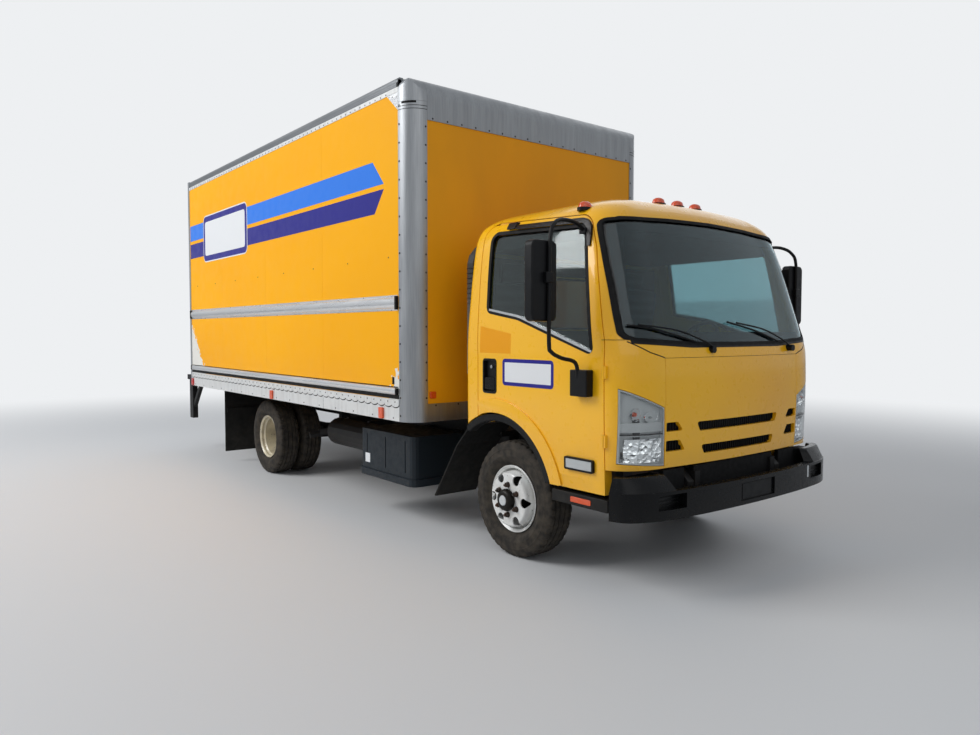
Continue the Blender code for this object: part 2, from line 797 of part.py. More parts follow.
def exhaust():
    """Silencer beside the right rail, its inlet from the engine side and its tail pipe."""
    drum = turned(
        [(0.09, -2.95), (0.13, -2.92), (0.13, -2.18), (0.09, -2.15)],
        (0, -0.66, 0.50),
        "X",
        ring=False,
        steps=16,
    )
    tail = pipe([(-2.9, -0.66, 0.50), (-3.02, -0.69, 0.50), (-3.09, -0.78, 0.47), (-3.11, -0.88, 0.45)], 0.035)
    inlet = pipe([(-2.20, -0.66, 0.50), (-2.02, -0.62, 0.50), (-1.96, -0.50, 0.52), (-1.96, -0.30, 0.52)], 0.032)
    inner = RAIL_HALF_SPAN + SEAT_GAP
    hangers = [block((x - 0.02, x + 0.02), (-0.66, -inner), (0.61, 0.645)) for x in (-2.75, -2.35)]
    return fuse(drum, tail, inlet, *hangers)


def air_intake():
    """Ribbed snorkel behind the cab's right corner, bent to the cab at its top, with its duct down to the rail."""
    x, y, radius = SNORKEL_X, SNORKEL_Y, SNORKEL_RADIUS
    low, high = SNORKEL_Z
    bend = [(x, y, high), (x + 0.002, y + 0.012, high + 0.045), (x + 0.004, y + 0.045, high + 0.085)]
    intake = pipe([(x, y, low), *bend, (x + 0.006, y + 0.10, high + 0.10)], radius, resolution=2)
    for number in range(SNORKEL_RIBS):
        z = high - 0.03 - 0.034 * number
        fuse(intake, turned([(radius - 0.01, z), (radius + 0.005, z), (radius - 0.01, z + 0.012)], (x, y, 0), "Z"))
    foot = RAIL_TOP - 0.095
    foot_x, foot_y = SNORKEL_FOOT
    elbow = [(foot_x + 0.03, foot_y - 0.03, low + 0.06), (foot_x, foot_y, low - 0.01)]
    duct = pipe([(x, y, low + 0.07), *elbow, (foot_x, foot_y, foot + 0.02)], DUCT_RADIUS)
    arm_y = (foot_y - DUCT_RADIUS, -RAIL_HALF_SPAN - SEAT_GAP)
    arm = block((foot_x - DUCT_RADIUS, foot_x + DUCT_RADIUS), arm_y, (foot, foot + 0.07))
    return fuse(intake, duct, arm)


def mud_flaps():
    """Two rubber flaps behind the rear wheels, on a bar under the rails."""
    top = RAIL_TOP - RAIL_DEPTH - SEAT_GAP
    half = FLAP_THICKNESS / 2
    reach = FLAP_Y[1] - 0.02
    bar = block((FLAP_X - FLAP_BAR / 2, FLAP_X + FLAP_BAR / 2), (-reach, reach), (top - FLAP_BAR, top))
    return fuse(bar, *[mirrored((FLAP_X - half, FLAP_X + half), FLAP_Y, FLAP_Z, side) for side in (1, -1)])


def splash_guard(side):
    """Plate behind a front wheel, hung from the rail."""
    x_top, z_top = GUARD_BEND[0]
    back = [(x - GUARD_THICKNESS, z + GUARD_THICKNESS / 2) for x, z in reversed(GUARD_BEND)]
    plate = prism(list(GUARD_BEND) + back, side_span(side, *GUARD_Y), "Y")
    inner = RAIL_HALF_SPAN + SEAT_GAP
    arm_x = (x_top - 0.13, x_top - 0.08)
    return fuse(plate, mirrored(arm_x, (inner, GUARD_Y[0] + 0.04), (z_top - 0.12, z_top - 0.08), side))


def rear_step():
    """Step behind the box, on an arm from each rail, with a braced post at each end."""
    rear = BOX_REAR_X - STEP_REACH
    deck_low = STEP_TOP - STEP_DECK
    deck = block((rear, BOX_REAR_X - SEAT_GAP), (-STEP_HALF, STEP_HALF), (deck_low, STEP_TOP))
    rail_low, rail_high = RAIL_TOP - 0.15, RAIL_TOP - 0.02
    arm = [
        (RAIL_REAR_X - SEAT_GAP, rail_low),
        (RAIL_REAR_X - SEAT_GAP, rail_high),
        (BOX_REAR_X - 0.02, rail_high),
        (BOX_REAR_X - 0.02, deck_low + 0.005),
        (rear + 0.06, deck_low + 0.005),
        (rear + 0.06, deck_low - 0.03),
        (BOX_REAR_X - 0.05, rail_low),
    ]
    post_x = (rear + 0.02, rear + 0.02 + STEP_POST_DEPTH)
    post_y = (STEP_HALF - 0.02 - STEP_POST_WIDTH, STEP_HALF - 0.02)
    foot_high = BOX_BOTTOM - SEAT_GAP
    brace = [
        (post_x[1] - 0.02, STEP_BRACE_Z[0]),
        (post_x[1] - 0.02, STEP_BRACE_Z[1]),
        (BOX_REAR_X, foot_high - 0.015),
        (BOX_REAR_X, foot_high),
        (BOX_REAR_X + REAR_FRAME_DEPTH, foot_high),
        (BOX_REAR_X + REAR_FRAME_DEPTH, foot_high - 0.03),
    ]
    for side in (1, -1):
        fuse(deck, prism(arm, side_span(side, 0.36, 0.42), "Y"))
        fuse(deck, mirrored(post_x, post_y, (STEP_POST_LOW, deck_low + 0.005), side))
        fuse(deck, prism(brace, side_span(side, post_y[0] + 0.01, post_y[1] - 0.01), "Y"))
    return deck


BUMPER_PLAN = (
    # y, x on the bumper's outer face
    (0.0, BUMPER_FRONT_X),
    (0.45, BUMPER_FRONT_X - 0.012),
    (0.78, BUMPER_FRONT_X - 0.045),
    (0.94, BUMPER_FRONT_X - 0.090),
    (1.03, BUMPER_FRONT_X - 0.150),
    (1.065, BUMPER_FRONT_X - 0.235),
)


def bumper_outline(reach):
    """The bumper from above, or only its ends beyond a Y value."""
    outer = [(x, y) for y, x in BUMPER_PLAN]
    inner = [(x - BUMPER_THICKNESS, y * 0.955) for x, y in outer[:-1]]
    half = [(x, y) for x, y in outer if y >= reach] + [(x, y) for x, y in reversed(inner) if y >= reach * 0.95]
    if reach > 0:
        return half
    return half + [(x, -y) for x, y in reversed(half) if y > 0]


def front_bumper():
    """Bar that wraps back at its ends, higher there, with lamp and plate recesses."""
    bar = prism(bumper_outline(0), (BUMPER_LOW, BUMPER_TOP), "Z")
    for side in (1, -1):
        ends = bumper_outline(0.70)
        middle = (0.98, 0.90)
        low = [(x, side * y, BUMPER_TOP - 0.01) for x, y in ends]
        high = [
            (x + (middle[0] - x) * BUMPER_END_LEAN, side * (y + (middle[1] - y) * 0.12), BUMPER_END_TOP) for x, y in ends
        ]
        raised = loft([low, high])
        lamp = mirrored((BUMPER_FRONT_X - 0.08, BUMPER_FRONT_X + 0.1), (0.64, 0.79), (0.485, 0.565), side)
        arm_y = (0.30, RAIL_HALF_SPAN - 0.055)
        bracket = mirrored((0.94, BUMPER_FRONT_X - 0.03), arm_y, (0.50, 0.56), side)
        top = mirrored((0.94, 0.975), arm_y, (0.55, RAIL_TOP - RAIL_DEPTH - SEAT_GAP), side)
        fuse(bar, raised, bracket, top)
        cut(bar, lamp)
    plate = block((BUMPER_FRONT_X - 0.014, BUMPER_FRONT_X + 0.1), (-0.18, 0.18), (0.47, 0.575))
    return cut(bar, plate)


def add_chassis(truck):
    truck.add("frame_rails", frame_rails(), "chassis_black", "chassis")
    truck.add("engine_block", engine_block(), "cast_iron", "chassis")
    truck.add("gearbox_shaft", gearbox_and_shaft(), "cast_iron", "chassis")
    truck.add("fuel_tank", fuel_tank(), "chassis_black", "chassis")
    truck.add("battery_box", battery_box(), "black_plastic", "chassis")
    truck.add("exhaust", exhaust(), "cast_iron", "chassis")
    truck.add("air_intake", air_intake(), "black_plastic", "chassis")
    truck.add("mud_flaps", mud_flaps(), "black_plastic", "chassis")
    for name, side in SIDES:
        truck.add(f"splash_guard_{name}", splash_guard(side), "black_plastic", "chassis")
    truck.add("rear_step", rear_step(), "chassis_black", "chassis")
    truck.add("front_bumper", front_bumper(), "black_plastic", "chassis")


# Van body

INNER_HALF = BOX_HALF_WIDTH - BOX_WALL
SIDE_FRONT_X = BOX_FRONT_X - CORNER_RADIUS


def box_floor():
    """Floor plate on crossmembers and two long sills that rest on the rails."""
    plate_low = FLOOR_TOP - FLOOR_PLATE
    x = (BOX_REAR_X + REAR_FRAME_DEPTH + SEAT_GAP, BOX_FRONT_X - BOX_WALL - SEAT_GAP)
    half = INNER_HALF - SEAT_GAP
    corner = CORNER_RADIUS - BOX_WALL
    plan = rounded([(x[0], -half), (x[1], -half), (x[1], half), (x[0], half)], [0, corner, corner, 0])
    floor = prism(plan, (plate_low, FLOOR_TOP), "Z")
    door_seat_x = (x[0] - 0.1, x[0] + DOOR_PANEL + SEAT_GAP)
    cut(floor, block(door_seat_x, (-half - 0.1, half + 0.1), (FLOOR_TOP - DOOR_SEAT_DROP, FLOOR_TOP + 0.1)))
    for side in (1, -1):
        sill = mirrored(
            (x[0], x[1]), (RAIL_HALF_SPAN - 0.06, RAIL_HALF_SPAN), (RAIL_TOP + SEAT_GAP, plate_low + 0.002), side
        )
        floor = fuse(floor, sill)
    count = 12
    for number in range(count):
        middle = x[0] + 0.10 + (x[1] - x[0] - 0.25) * number / (count - 1)
        member = block((middle - 0.022, middle + 0.022), (-half, half), (plate_low - 0.085, plate_low + 0.003))
        fuse(floor, member)
    return floor


def box_wall(side):
    """Side wall with its rub rails and the stepped apron below."""
    x = (BOX_REAR_X + REAR_FRAME_DEPTH + SEAT_GAP, SIDE_FRONT_X - SEAT_GAP)
    face = BOX_HALF_WIDTH - 0.004
    section = [
        (INNER_HALF, BOX_BOTTOM + 0.002),
        (face + 0.004, BOX_BOTTOM),
        (face + 0.004, APRON_STEP),
        (face + 0.009, APRON_STEP + 0.003),
        (face + 0.009, APRON_TOP),
        (face, APRON_TOP + 0.003),
        (face, LOW_RAIL[0]),
    ]
    low_middle, low_half = sum(LOW_RAIL) / 2, (LOW_RAIL[1] - LOW_RAIL[0]) / 2
    section += [(face + RAIL_PROUD * 0.8, low_middle - low_half * 0.4), (face + RAIL_PROUD, low_middle + 0.01)]
    section += [(face + 0.003, LOW_RAIL[1]), (face, LOW_RAIL[1])]
    mid, half = sum(MID_RAIL) / 2, (MID_RAIL[1] - MID_RAIL[0]) / 2
    section += [
        (face + RAIL_PROUD * math.cos(a), mid + half * math.sin(a))
        for a in (math.radians(-90 + 30 * n) for n in range(7))
    ]
    section += [
        (face, TOP_RAIL_LOW),
        (face + 0.004, TOP_RAIL_LOW),
        (face + 0.004, BOX_TOP - 0.020),
        (face - 0.012, BOX_TOP),
        (INNER_HALF, BOX_TOP),
    ]
    outline = [(side * y, z) for y, z in section]
    return prism(outline, x, "X")


def box_front_wall():
    """Flat front panel inside the nose frame."""
    half = BOX_HALF_WIDTH - CORNER_RADIUS - 0.004 - SEAT_GAP
    low = BOX_BOTTOM + NOSE_SILL_DEPTH + SEAT_GAP
    x = (BOX_FRONT_X - BOX_WALL, BOX_FRONT_X - 0.006)
    return block(x, (-half, half), (low, BOX_TOP - NOSE_CAP_DEPTH - SEAT_GAP))


def nose_shell(inset):
    """The rounded front end of the box as a solid, smaller by the inset."""
    half = BOX_HALF_WIDTH - inset
    front = BOX_FRONT_X - inset
    radius = CORNER_RADIUS - inset
    plan = [(SIDE_FRONT_X - 0.3, -half)]
    plan += [(x, y) for x, y in arc((front - radius, radius - half), radius, -90, 0, 8)]
    plan += [(x, y) for x, y in arc((front - radius, half - radius), radius, 0, 90, 8)]
    plan += [(SIDE_FRONT_X - 0.3, half)]
    body = prism(plan, (BOX_BOTTOM - inset, BOX_TOP - inset), "Z")
    crown = [(SIDE_FRONT_X - 0.4, BOX_BOTTOM - 1), (front, BOX_BOTTOM - 1)]
    crown += arc((front - radius, BOX_TOP - inset - radius), radius, 0, 90, 8)
    crown += [(SIDE_FRONT_X - 0.4, BOX_TOP - inset)]
    return common(body, prism(crown, (-2, 2), "Y"))


def nose_frame():
    """Rounded aluminium corner posts, the cap over them and the sill between them."""
    frame = cut(nose_shell(0.0), nose_shell(BOX_WALL))
    rear = block((-2, SIDE_FRONT_X), (-2, 2), (0, 4))
    half = BOX_HALF_WIDTH - CORNER_RADIUS - 0.004
    z = (BOX_BOTTOM + NOSE_SILL_DEPTH, BOX_TOP - NOSE_CAP_DEPTH)
    window = block((SIDE_FRONT_X - 0.1, BOX_FRONT_X + 0.1), (-half, half), z)
    return cut(frame, rear, window)


def box_roof():
    """Roof sheet on bows, between the side walls."""
    x = (BOX_REAR_X + REAR_FRAME_DEPTH + SEAT_GAP, SIDE_FRONT_X - SEAT_GAP)
    half = INNER_HALF - SEAT_GAP
    roof = block(x, (-half, half), (BOX_TOP - 0.014, BOX_TOP - 0.006))
    count = 9
    for number in range(count):
        middle = x[0] + 0.06 + (x[1] - x[0] - 0.12) * number / (count - 1)
        fuse(roof, block((middle - 0.02, middle + 0.02), (-half, half), (BOX_TOP - 0.05, BOX_TOP - 0.012)))
    return roof


def box_rear_frame():
    """Steel frame round the rear opening, with its sill."""
    x = (BOX_REAR_X, BOX_REAR_X + REAR_FRAME_DEPTH)
    half = BOX_HALF_WIDTH
    frame = block(x, (-half, half), (BOX_BOTTOM, BOX_TOP))
    opening = block(
        (x[0] - 0.1, x[1] + 0.1), (REAR_POST - half, half - REAR_POST), (FLOOR_TOP, BOX_TOP - REAR_HEADER)
    )
    return cut(frame, opening)


def box_rear_door():
    """Closed roll-up door: slats with a groove at each hinge line."""
    front = BOX_REAR_X + REAR_FRAME_DEPTH + SEAT_GAP
    half = INNER_HALF - 0.004
    low, high = FLOOR_TOP - DOOR_SEAT_DROP + SEAT_GAP, BOX_TOP - REAR_HEADER + 0.03
    count = round((high - low) / SLAT_HEIGHT)
    section = [(front + DOOR_PANEL, low), (front + DOOR_PANEL, high), (front, high)]
    for number in range(count - 1, 0, -1):
        z = low + (high - low) * number / count
        section += [(front, z + 0.006), (front + 0.007, z), (front, z - 0.006)]
    section += [(front, low)]
    return prism(section, (-half, half), "Y")


def add_van_body(truck):
    truck.add("box_floor", box_floor(), "plywood", "chassis")
    for name, side in SIDES:
        truck.add(f"box_wall_{name}", box_wall(side), "yellow_paint", "chassis")
    truck.add("box_front_wall", box_front_wall(), "yellow_paint", "chassis")
    truck.add("box_nose_frame", nose_frame(), "aluminium", "chassis")
    truck.add("box_roof", box_roof(), "white_panel", "chassis")
    truck.add("box_rear_frame", box_rear_frame(), "aluminium", "chassis")
    truck.add("box_rear_door", box_rear_door(), "white_panel", "chassis")


# Cab

# Levels of the cab's outer skin: height, rear x, half width, front x in the middle, corner depth
CAB_LEVELS = (
    (0.556, CAB_REAR_X, 0.990, 1.058, 0.200),
    (0.700, CAB_REAR_X, 0.994, 1.068, 0.205),
    (1.050, CAB_REAR_X, 1.000, 1.075, 0.210),
    (1.315, CAB_REAR_X, 1.000, 1.068, 0.210),
    (1.420, CAB_REAR_X, 0.997, 1.045, 0.205),
    (1.680, CAB_REAR_X, 0.974, 0.968, 0.190),
    (1.930, CAB_REAR_X, 0.944, 0.893, 0.180),
    (2.070, CAB_REAR_X + 0.015, 0.918, 0.846, 0.180),
    (2.150, CAB_REAR_X + 0.060, 0.880, 0.812, 0.190),
    (2.205, CAB_REAR_X + 0.140, 0.815, 0.765, 0.200),
    (2.245, CAB_REAR_X + 0.270, 0.710, 0.705, 0.190),
    (2.272, CAB_REAR_X + 0.470, 0.560, 0.630, 0.150),
)
FRONT_SAG = 0.032  # how far the front falls back from the middle to the corner's start
CORNER_START = 0.655  # share of the half width where the front corner starts
CORNER_POWER = 2.35
REAR_CORNER = 0.055
FRONT_STEPS = 2
CORNER_STEPS = 5
ROOF_START = 2.0


def cab_ring(level, inset):
    """One level of the skin as points round it, moved in by the inset."""
    height, rear, half, front, depth = level
    half, front, rear = half - inset, front - inset, rear + inset
    height -= inset if height > ROOF_START else 0.0
    start = CORNER_START * half
    side = []
    for i in range(FRONT_STEPS):
        share = i / FRONT_STEPS
        side.append((front - FRONT_SAG * share * share, start * share))
    for i in range(CORNER_STEPS + 1):
        angle = math.radians(90 * i / CORNER_STEPS)
        across = math.sin(angle) ** (2 / CORNER_POWER)
        along = math.cos(angle) ** (2 / CORNER_POWER) if i < CORNER_STEPS else 0.0
        side.append((front - FRONT_SAG - depth * (1 - along), start + (half - start) * across))
    radius = max(REAR_CORNER - inset, 0.004)
    side += arc((rear + radius, half - radius), radius, 90, 180, 2)
    ring = side + [(x, -y) for x, y in reversed(side) if y > 0]
    return [(x, y, height) for x, y in ring]


def cab_solid(inset, low=None):
    """The cab's outer form, solid, smaller by the inset."""
    rings = [cab_ring(level, inset) for level in CAB_LEVELS]
    if low is not None:
        rings[0] = [(x, y, low) for x, y, _ in rings[0]]
    return loft(rings)


def cab_skin(outer=0.0, inner=CAB_WALL):
    """The cab's wall between two insets, open at the bottom."""
    return cut(cab_solid(outer), cab_solid(inner, low=CAB_LEVELS[0][0] - 0.2))


# Outlines seen from the side: x, z
DOOR_TOP = 2.125
DOOR_REAR_X = -0.262
DOOR_SILL = 0.552
DOOR_INNER_Y = 0.865
DOOR_OUTLINE_TOP = (
    (DOOR_HINGE_X, DOOR_SILL),
    (DOOR_HINGE_X - 0.008, 1.40),
    (0.750, 1.955),
    (0.680, 2.095),
    (0.560, DOOR_TOP),
    (-0.205, DOOR_TOP),
    (-0.262, DOOR_TOP - 0.033),
    (-0.290, DOOR_TOP - 0.085),
    (-0.288, 1.950),
    (-0.275, 1.600),
    (DOOR_REAR_X, 1.300),
)
WINDOW_OUTLINE = ((0.781, 1.330), (0.668, 2.058), (-0.212, 2.078), (-0.185, 1.590), (0.123, 1.540))
WINDOW_CORNERS = (0.03, 0.06, 0.06, 0.05, 0.25)
POCKET_X = (-0.206, -0.075)
POCKET_Z = (1.067, 1.283)
POCKET_DEPTH = 0.020

# Outlines seen from the front: y, z
REAR_WINDOW_OUTLINE = ((-0.55, 1.48), (0.55, 1.48), (0.55, 1.86), (-0.55, 1.86))
LAMP_REAR_X = 0.885
LAMP_OUTLINE = ((0.692, 0.715), (0.966, 0.740), (0.966, 1.150), (0.700, 1.040))


def door_outline():
    """The door from the side, its lower rear edge following the wheel arch."""
    radius = ARCH_RADIUS + 0.004
    drop = DOOR_SILL - ARCH_Z
    first = math.degrees(math.asin(drop / radius))
    last = 180 - math.degrees(math.acos((ARCH_X - DOOR_REAR_X) / radius))
    sweep = arc((ARCH_X, ARCH_Z), radius, last, first, 9)
    return list(DOOR_OUTLINE_TOP) + sweep


def screen_outline():
    """Windscreen from the front: sides lean in, bottom edge bowed down at the middle."""
    points = [(0.942, 1.440), (0.892, 1.830), (0.852, 2.065), (0.800, 2.112), (0.400, 2.138), (0.0, 2.145)]
    bottom = [(0.0, 1.385), (0.45, 1.388), (0.700, 1.398), (0.850, 1.410), (0.922, 1.425)]
    right = bottom + points[:-1]
    return right + [points[-1]] + [(-y, z) for y, z in reversed(right[1:])]


def window_outline():
    return rounded(list(WINDOW_OUTLINE), list(WINDOW_CORNERS), steps=3)


def arch_cutter():
    return rod(ARCH_RADIUS, (ARCH_X, 0, ARCH_Z), (-1.2, 1.2), "Y", steps=48)


def side_span(side, low=0.80, high=1.2):
    return tuple(sorted((side * low, side * high)))


HINGE_Z = (0.86, 1.24)
HINGE_HALF = 0.018
HINGE_RADIUS = 0.0105
HINGE_PIN_RADIUS = 0.004


def hinge_barrel(side, z):
    """The door's bored knuckle round its hinge axis."""
    centre = (DOOR_HINGE_X, side * DOOR_HINGE_Y, 0)
    inner = bore_radius(HINGE_PIN_RADIUS, 8)
    profile = [(inner, z[0]), (HINGE_RADIUS, z[0]), (HINGE_RADIUS, z[1]), (inner, z[1])]
    return turned(profile, centre, "Z", steps=8)


def tilt_arm(side):
    """Arm from a foot well down to the cab's tilt pin."""
    outline = [
        (TILT_AXIS_X - 0.035, TILT_AXIS_Z - 0.028),
        (TILT_AXIS_X + 0.028, TILT_AXIS_Z - 0.028),
        (TILT_AXIS_X + 0.028, TILT_AXIS_Z + 0.040),
        (TILT_AXIS_X - 0.042, FOOTWELL_TOP - 0.13),
        (TILT_AXIS_X - 0.048, FOOTWELL_TOP - 0.02),
        (TILT_AXIS_X - 0.130, FOOTWELL_TOP - 0.02),
        (TILT_AXIS_X - 0.130, FOOTWELL_TOP - 0.12),
    ]
    y = sorted((side * (RAIL_HALF_SPAN + 0.006), side * (RAIL_HALF_SPAN + 0.060)))
    radius = bore_radius(TILT_PIN_RADIUS, PIN_STEPS)
    centre = (TILT_AXIS_X, 0, TILT_AXIS_Z)
    bore = rod(radius, centre, side_span(side, 0.40, 0.60), "Y", steps=PIN_STEPS)
    return cut(prism(outline, y, "Y"), bore)


def cab_floor():
    """Floor over the axle and engine, foot wells ahead of it, and the cover over the engine."""
    half = CAB_LEVELS[0][2] - CAB_WALL - FLOOR_SIDE_GAP
    front = FOOTWELL_X[1] + 0.016
    slab = block((CAB_REAR_X + 0.02, front), (-half, half), (CAB_FLOOR_TOP - 0.04, CAB_FLOOR_TOP))
    cover_half = ENGINE_COVER_HALF + 0.035
    cover_z = (CAB_FLOOR_TOP - 0.04, ENGINE_COVER_TOP + 0.035)
    fuse(slab, block((CAB_REAR_X + 0.02, 0.485), (-cover_half, cover_half), cover_z))
    for side in (1, -1):
        tray_z = (FOOTWELL_TOP - 0.04, CAB_FLOOR_TOP)
        tray = mirrored((FOOTWELL_X[0] - 0.04, front), (RAIL_HALF_SPAN + 0.004, half), tray_z, side)
        well = mirrored(FOOTWELL_X, (TUNNEL_HALF + 0.04, half + 0.1), (FOOTWELL_TOP, 1.1), side)
        fuse(slab, tray)
        cut(slab, well)
    common(slab, cab_solid(CAB_WALL + SEAT_GAP, low=0.2))
    cover = ENGINE_COVER_HALF
    cut(slab, block((CAB_REAR_X - 0.1, 0.45), (-cover, cover), (0.3, ENGINE_COVER_TOP)), arch_cutter())
    for side in (1, -1):
        step = mirrored((0.452, 0.885), (0.71, 0.985), (0.462, 0.530), side)
        riser = mirrored((0.456, 0.494), (0.71, 0.93), (0.52, FOOTWELL_TOP - 0.02), side)
        crown = CAB_FLOOR_TOP - 0.035 - ARCH_Z
        liner = arc((ARCH_X, ARCH_Z), crown, *LINER_ARC, 9)
        liner += arc((ARCH_X, ARCH_Z), crown - LINER_THICKNESS, *reversed(LINER_ARC), 9)
        fuse(slab, step, riser, prism(liner, side_span(side, 0.62, 0.938), "Y"), tilt_arm(side))
    return slab


def wall_piece(outline, span, axis, gap):
    """Cutter for a piece set in the cab's wall, larger than it by the gap."""
    skin = cab_skin(-0.01, CAB_WALL + gap)
    return common(skin, prism(grow(outline, gap), span, axis))


def hinge_knuckles(side, z):
    """The cab's two knuckles and pin at one door hinge."""
    axis = (DOOR_HINGE_X, side * DOOR_HINGE_Y, 0)
    pieces = []
    for way in (1, -1):
        span = sorted((z + way * (HINGE_HALF + SEAT_GAP), z + way * (HINGE_HALF * 2 + SEAT_GAP)))
        web_x = (DOOR_HINGE_X + 0.002, DOOR_HINGE_X + 0.016)
        pieces.append(mirrored(web_x, (0.965, DOOR_HINGE_Y + 0.004), span, side))
        pieces.append(rod(HINGE_RADIUS, axis, span, "Z", steps=8))
    pin = (z - HINGE_HALF * 1.5, z + HINGE_HALF * 1.5)
    return pieces + [rod(HINGE_PIN_RADIUS, axis, pin, "Z", steps=8)]


def cab_shell():
    """Roof, pillars, rear wall and cowl, with every opening cut."""
    shell = cab_skin()
    cut(shell, block((0.868, 1.2), (-1.2, 1.2), (0.3, CAB_FRONT_EDGE)), arch_cutter())
    cover = ENGINE_COVER_HALF
    cut(shell, block((CAB_REAR_X - 0.1, 0.45), (-cover, cover), (0.3, ENGINE_COVER_TOP)))
    cut(shell, block((CAB_REAR_X - 0.1, CAB_REAR_X + 0.1), (-1.2, 1.2), (0.3, 0.836)))
    for side in (1, -1):
        cut(shell, wall_piece(door_outline(), side_span(side, DOOR_INNER_Y - SHUT_GAP), "Y", SHUT_GAP))
        lamp = [(side * y, z) for y, z in LAMP_OUTLINE]
        cut(shell, wall_piece(lamp, (LAMP_REAR_X - SEAT_GAP, 1.3), "X", SEAT_GAP))
        for z in HINGE_Z:
            fuse(shell, *hinge_knuckles(side, z))
    cut(shell, wall_piece(panel_outline(), (0.80, 1.3), "X", SEAT_GAP))
    cut(shell, prism(screen_outline(), (0.45, 1.4), "X"))
    return cut(shell, prism(list(REAR_WINDOW_OUTLINE), (CAB_REAR_X - 0.1, CAB_REAR_X + 0.1), "X"))


def panel_outline():
    """Front panel from the front: the seam below the cowl, the lamps' inner edges, the lower edge."""
    half = PANEL_HALF_WIDTH
    return [(-half, CAB_FRONT_EDGE - 0.02), (half, CAB_FRONT_EDGE - 0.02), (half, COWL_SEAM), (-half, COWL_SEAM)]


# Slots in the front panel: half length, or inner and outer end, lowest and highest z
CENTRE_SLOTS = ((0.427, 0.890, 0.945), (0.385, 0.755, 0.808))
OUTER_SLOTS = ((0.545, 0.672, 0.872, 0.918), (0.545, 0.672, 0.775, 0.818))


def front_panel():
    """Panel between the lamps with its slanted air slots."""
    panel = common(cab_skin(0.0, CAB_WALL), prism(panel_outline(), (0.80, 1.3), "X"))
    cut(panel, block((0.5, 1.3), (-1, 1), (0.3, CAB_FRONT_EDGE)))
    for half, low, high in CENTRE_SLOTS:
        slot = [(-half + 0.03, low), (half - 0.03, low), (half, high), (-half, high)]
        cut(panel, prism(slot, (0.8, 1.3), "X"))
    for side in (1, -1):
        for start, end, low, high in OUTER_SLOTS:
            slot = [(side * start, low), (side * end, low), (side * end, high), (side * (start + 0.03), high)]
            cut(panel, prism(slot, (0.8, 1.3), "X"))
    return panel


def headlamp(side):
    outline = [(side * y, z) for y, z in LAMP_OUTLINE]
    return common(cab_skin(0.0, CAB_WALL), prism(outline, (LAMP_REAR_X, 1.3), "X"))


def pane(outline, span, axis):
    """Glass that follows the skin a little way in, filling an outline."""
    skin = cab_skin(GLASS_RECESS, GLASS_RECESS + GLASS_THICKNESS)
    return common(skin, prism(grow(outline, -SEAT_GAP), span, axis))


def rear_window():
    x = CAB_REAR_X + GLASS_RECESS
    outline = grow(list(REAR_WINDOW_OUTLINE), -SEAT_GAP)
    return prism(outline, (x, x + GLASS_THICKNESS), "X")


def door(side):
    """Full-thickness door with its window opening and a pocket for the handle."""
    panel = common(cab_skin(0.0, CAB_WALL), prism(door_outline(), side_span(side, DOOR_INNER_Y), "Y"))
    cut(panel, prism(window_outline(), side_span(side), "Y"))
    cut(panel, mirrored(POCKET_X, (CAB_LEVELS[2][2] - POCKET_DEPTH, 1.1), POCKET_Z, side))
    for z in HINGE_Z:
        span = (z - HINGE_HALF, z + HINGE_HALF)
        web_x = (DOOR_HINGE_X - 0.022, DOOR_HINGE_X - 0.0065)
        web = mirrored(web_x, (0.965, DOOR_HINGE_Y + 0.004), span, side)
        fuse(panel, web, hinge_barrel(side, span))
    return panel


MIRROR_X = 0.66
MIRROR_Y = 1.306
MIRROR_Z = (1.560, 1.955)
MIRROR_HALF_WIDTH = 0.090
ARM_RADIUS = 0.012


def mirror(side):
    """Mirror head on a bent tube from the door's top to a bracket near its waist."""
    head_outline = rounded(
        [
            (side * (MIRROR_Y - MIRROR_HALF_WIDTH), MIRROR_Z[0]),
            (side * (MIRROR_Y + MIRROR_HALF_WIDTH), MIRROR_Z[0]),
            (side * (MIRROR_Y + MIRROR_HALF_WIDTH), MIRROR_Z[1]),
            (side * (MIRROR_Y - MIRROR_HALF_WIDTH), MIRROR_Z[1]),
        ],
        [0.03] * 4,
        steps=2,
    )
    head = prism(head_outline, (MIRROR_X - 0.035, MIRROR_X + 0.035), "X")
    arm = pipe(
        [
            (0.655, side * 0.962, 2.035),
            (0.665, side * 1.160, 2.045),
            (0.690, side * 1.245, 2.018),
            (0.705, side * 1.285, 1.960),
            (0.705, side * 1.290, 1.450),
            (0.705, side * 1.260, 1.375),
            (0.705, side * 1.160, 1.325),
            (0.712, side * 1.055, 1.295),
            (0.712, side * 1.040, 1.190),
        ],
        ARM_RADIUS,
    )
    clamp = mirrored((MIRROR_X + 0.02, 0.712), (MIRROR_Y - 0.04, MIRROR_Y + 0.01), (1.73, 1.78), side)
    skin_y = 1.0 + SEAT_GAP * 2
    bracket = mirrored((0.655, 0.785), (skin_y, 1.058), (1.10, 1.25), side)
    top = mirrored((0.625, 0.700), (0.928, 0.972), (2.020, 2.055), side)
    return fuse(arm, head, clamp, bracket, top)


def seat(y, width):
    """Cushion and back on a plinth."""
    low = CAB_FLOOR_TOP + SEAT_GAP
    half = width / 2
    plinth = block((-0.25, 0.18), (y - half + 0.04, y + half - 0.04), (low, low + 0.165))
    cushion = block((-0.28, 0.24), (y - half, y + half), (low + 0.16, low + 0.29))
    back = [(-0.315, low + 0.17), (-0.17, low + 0.17), (-0.24, low + 0.80), (-0.335, low + 0.80)]
    rest = [(-0.332, low + 0.79), (-0.250, low + 0.79), (-0.255, low + 0.94), (-0.325, low + 0.94)]
    span = (y - half + 0.01, y + half - 0.01)
    head = prism(rest, (y - 0.13, y + 0.13), "Y")
    return fuse(plinth, cushion, prism(back, span, "Y"), head)


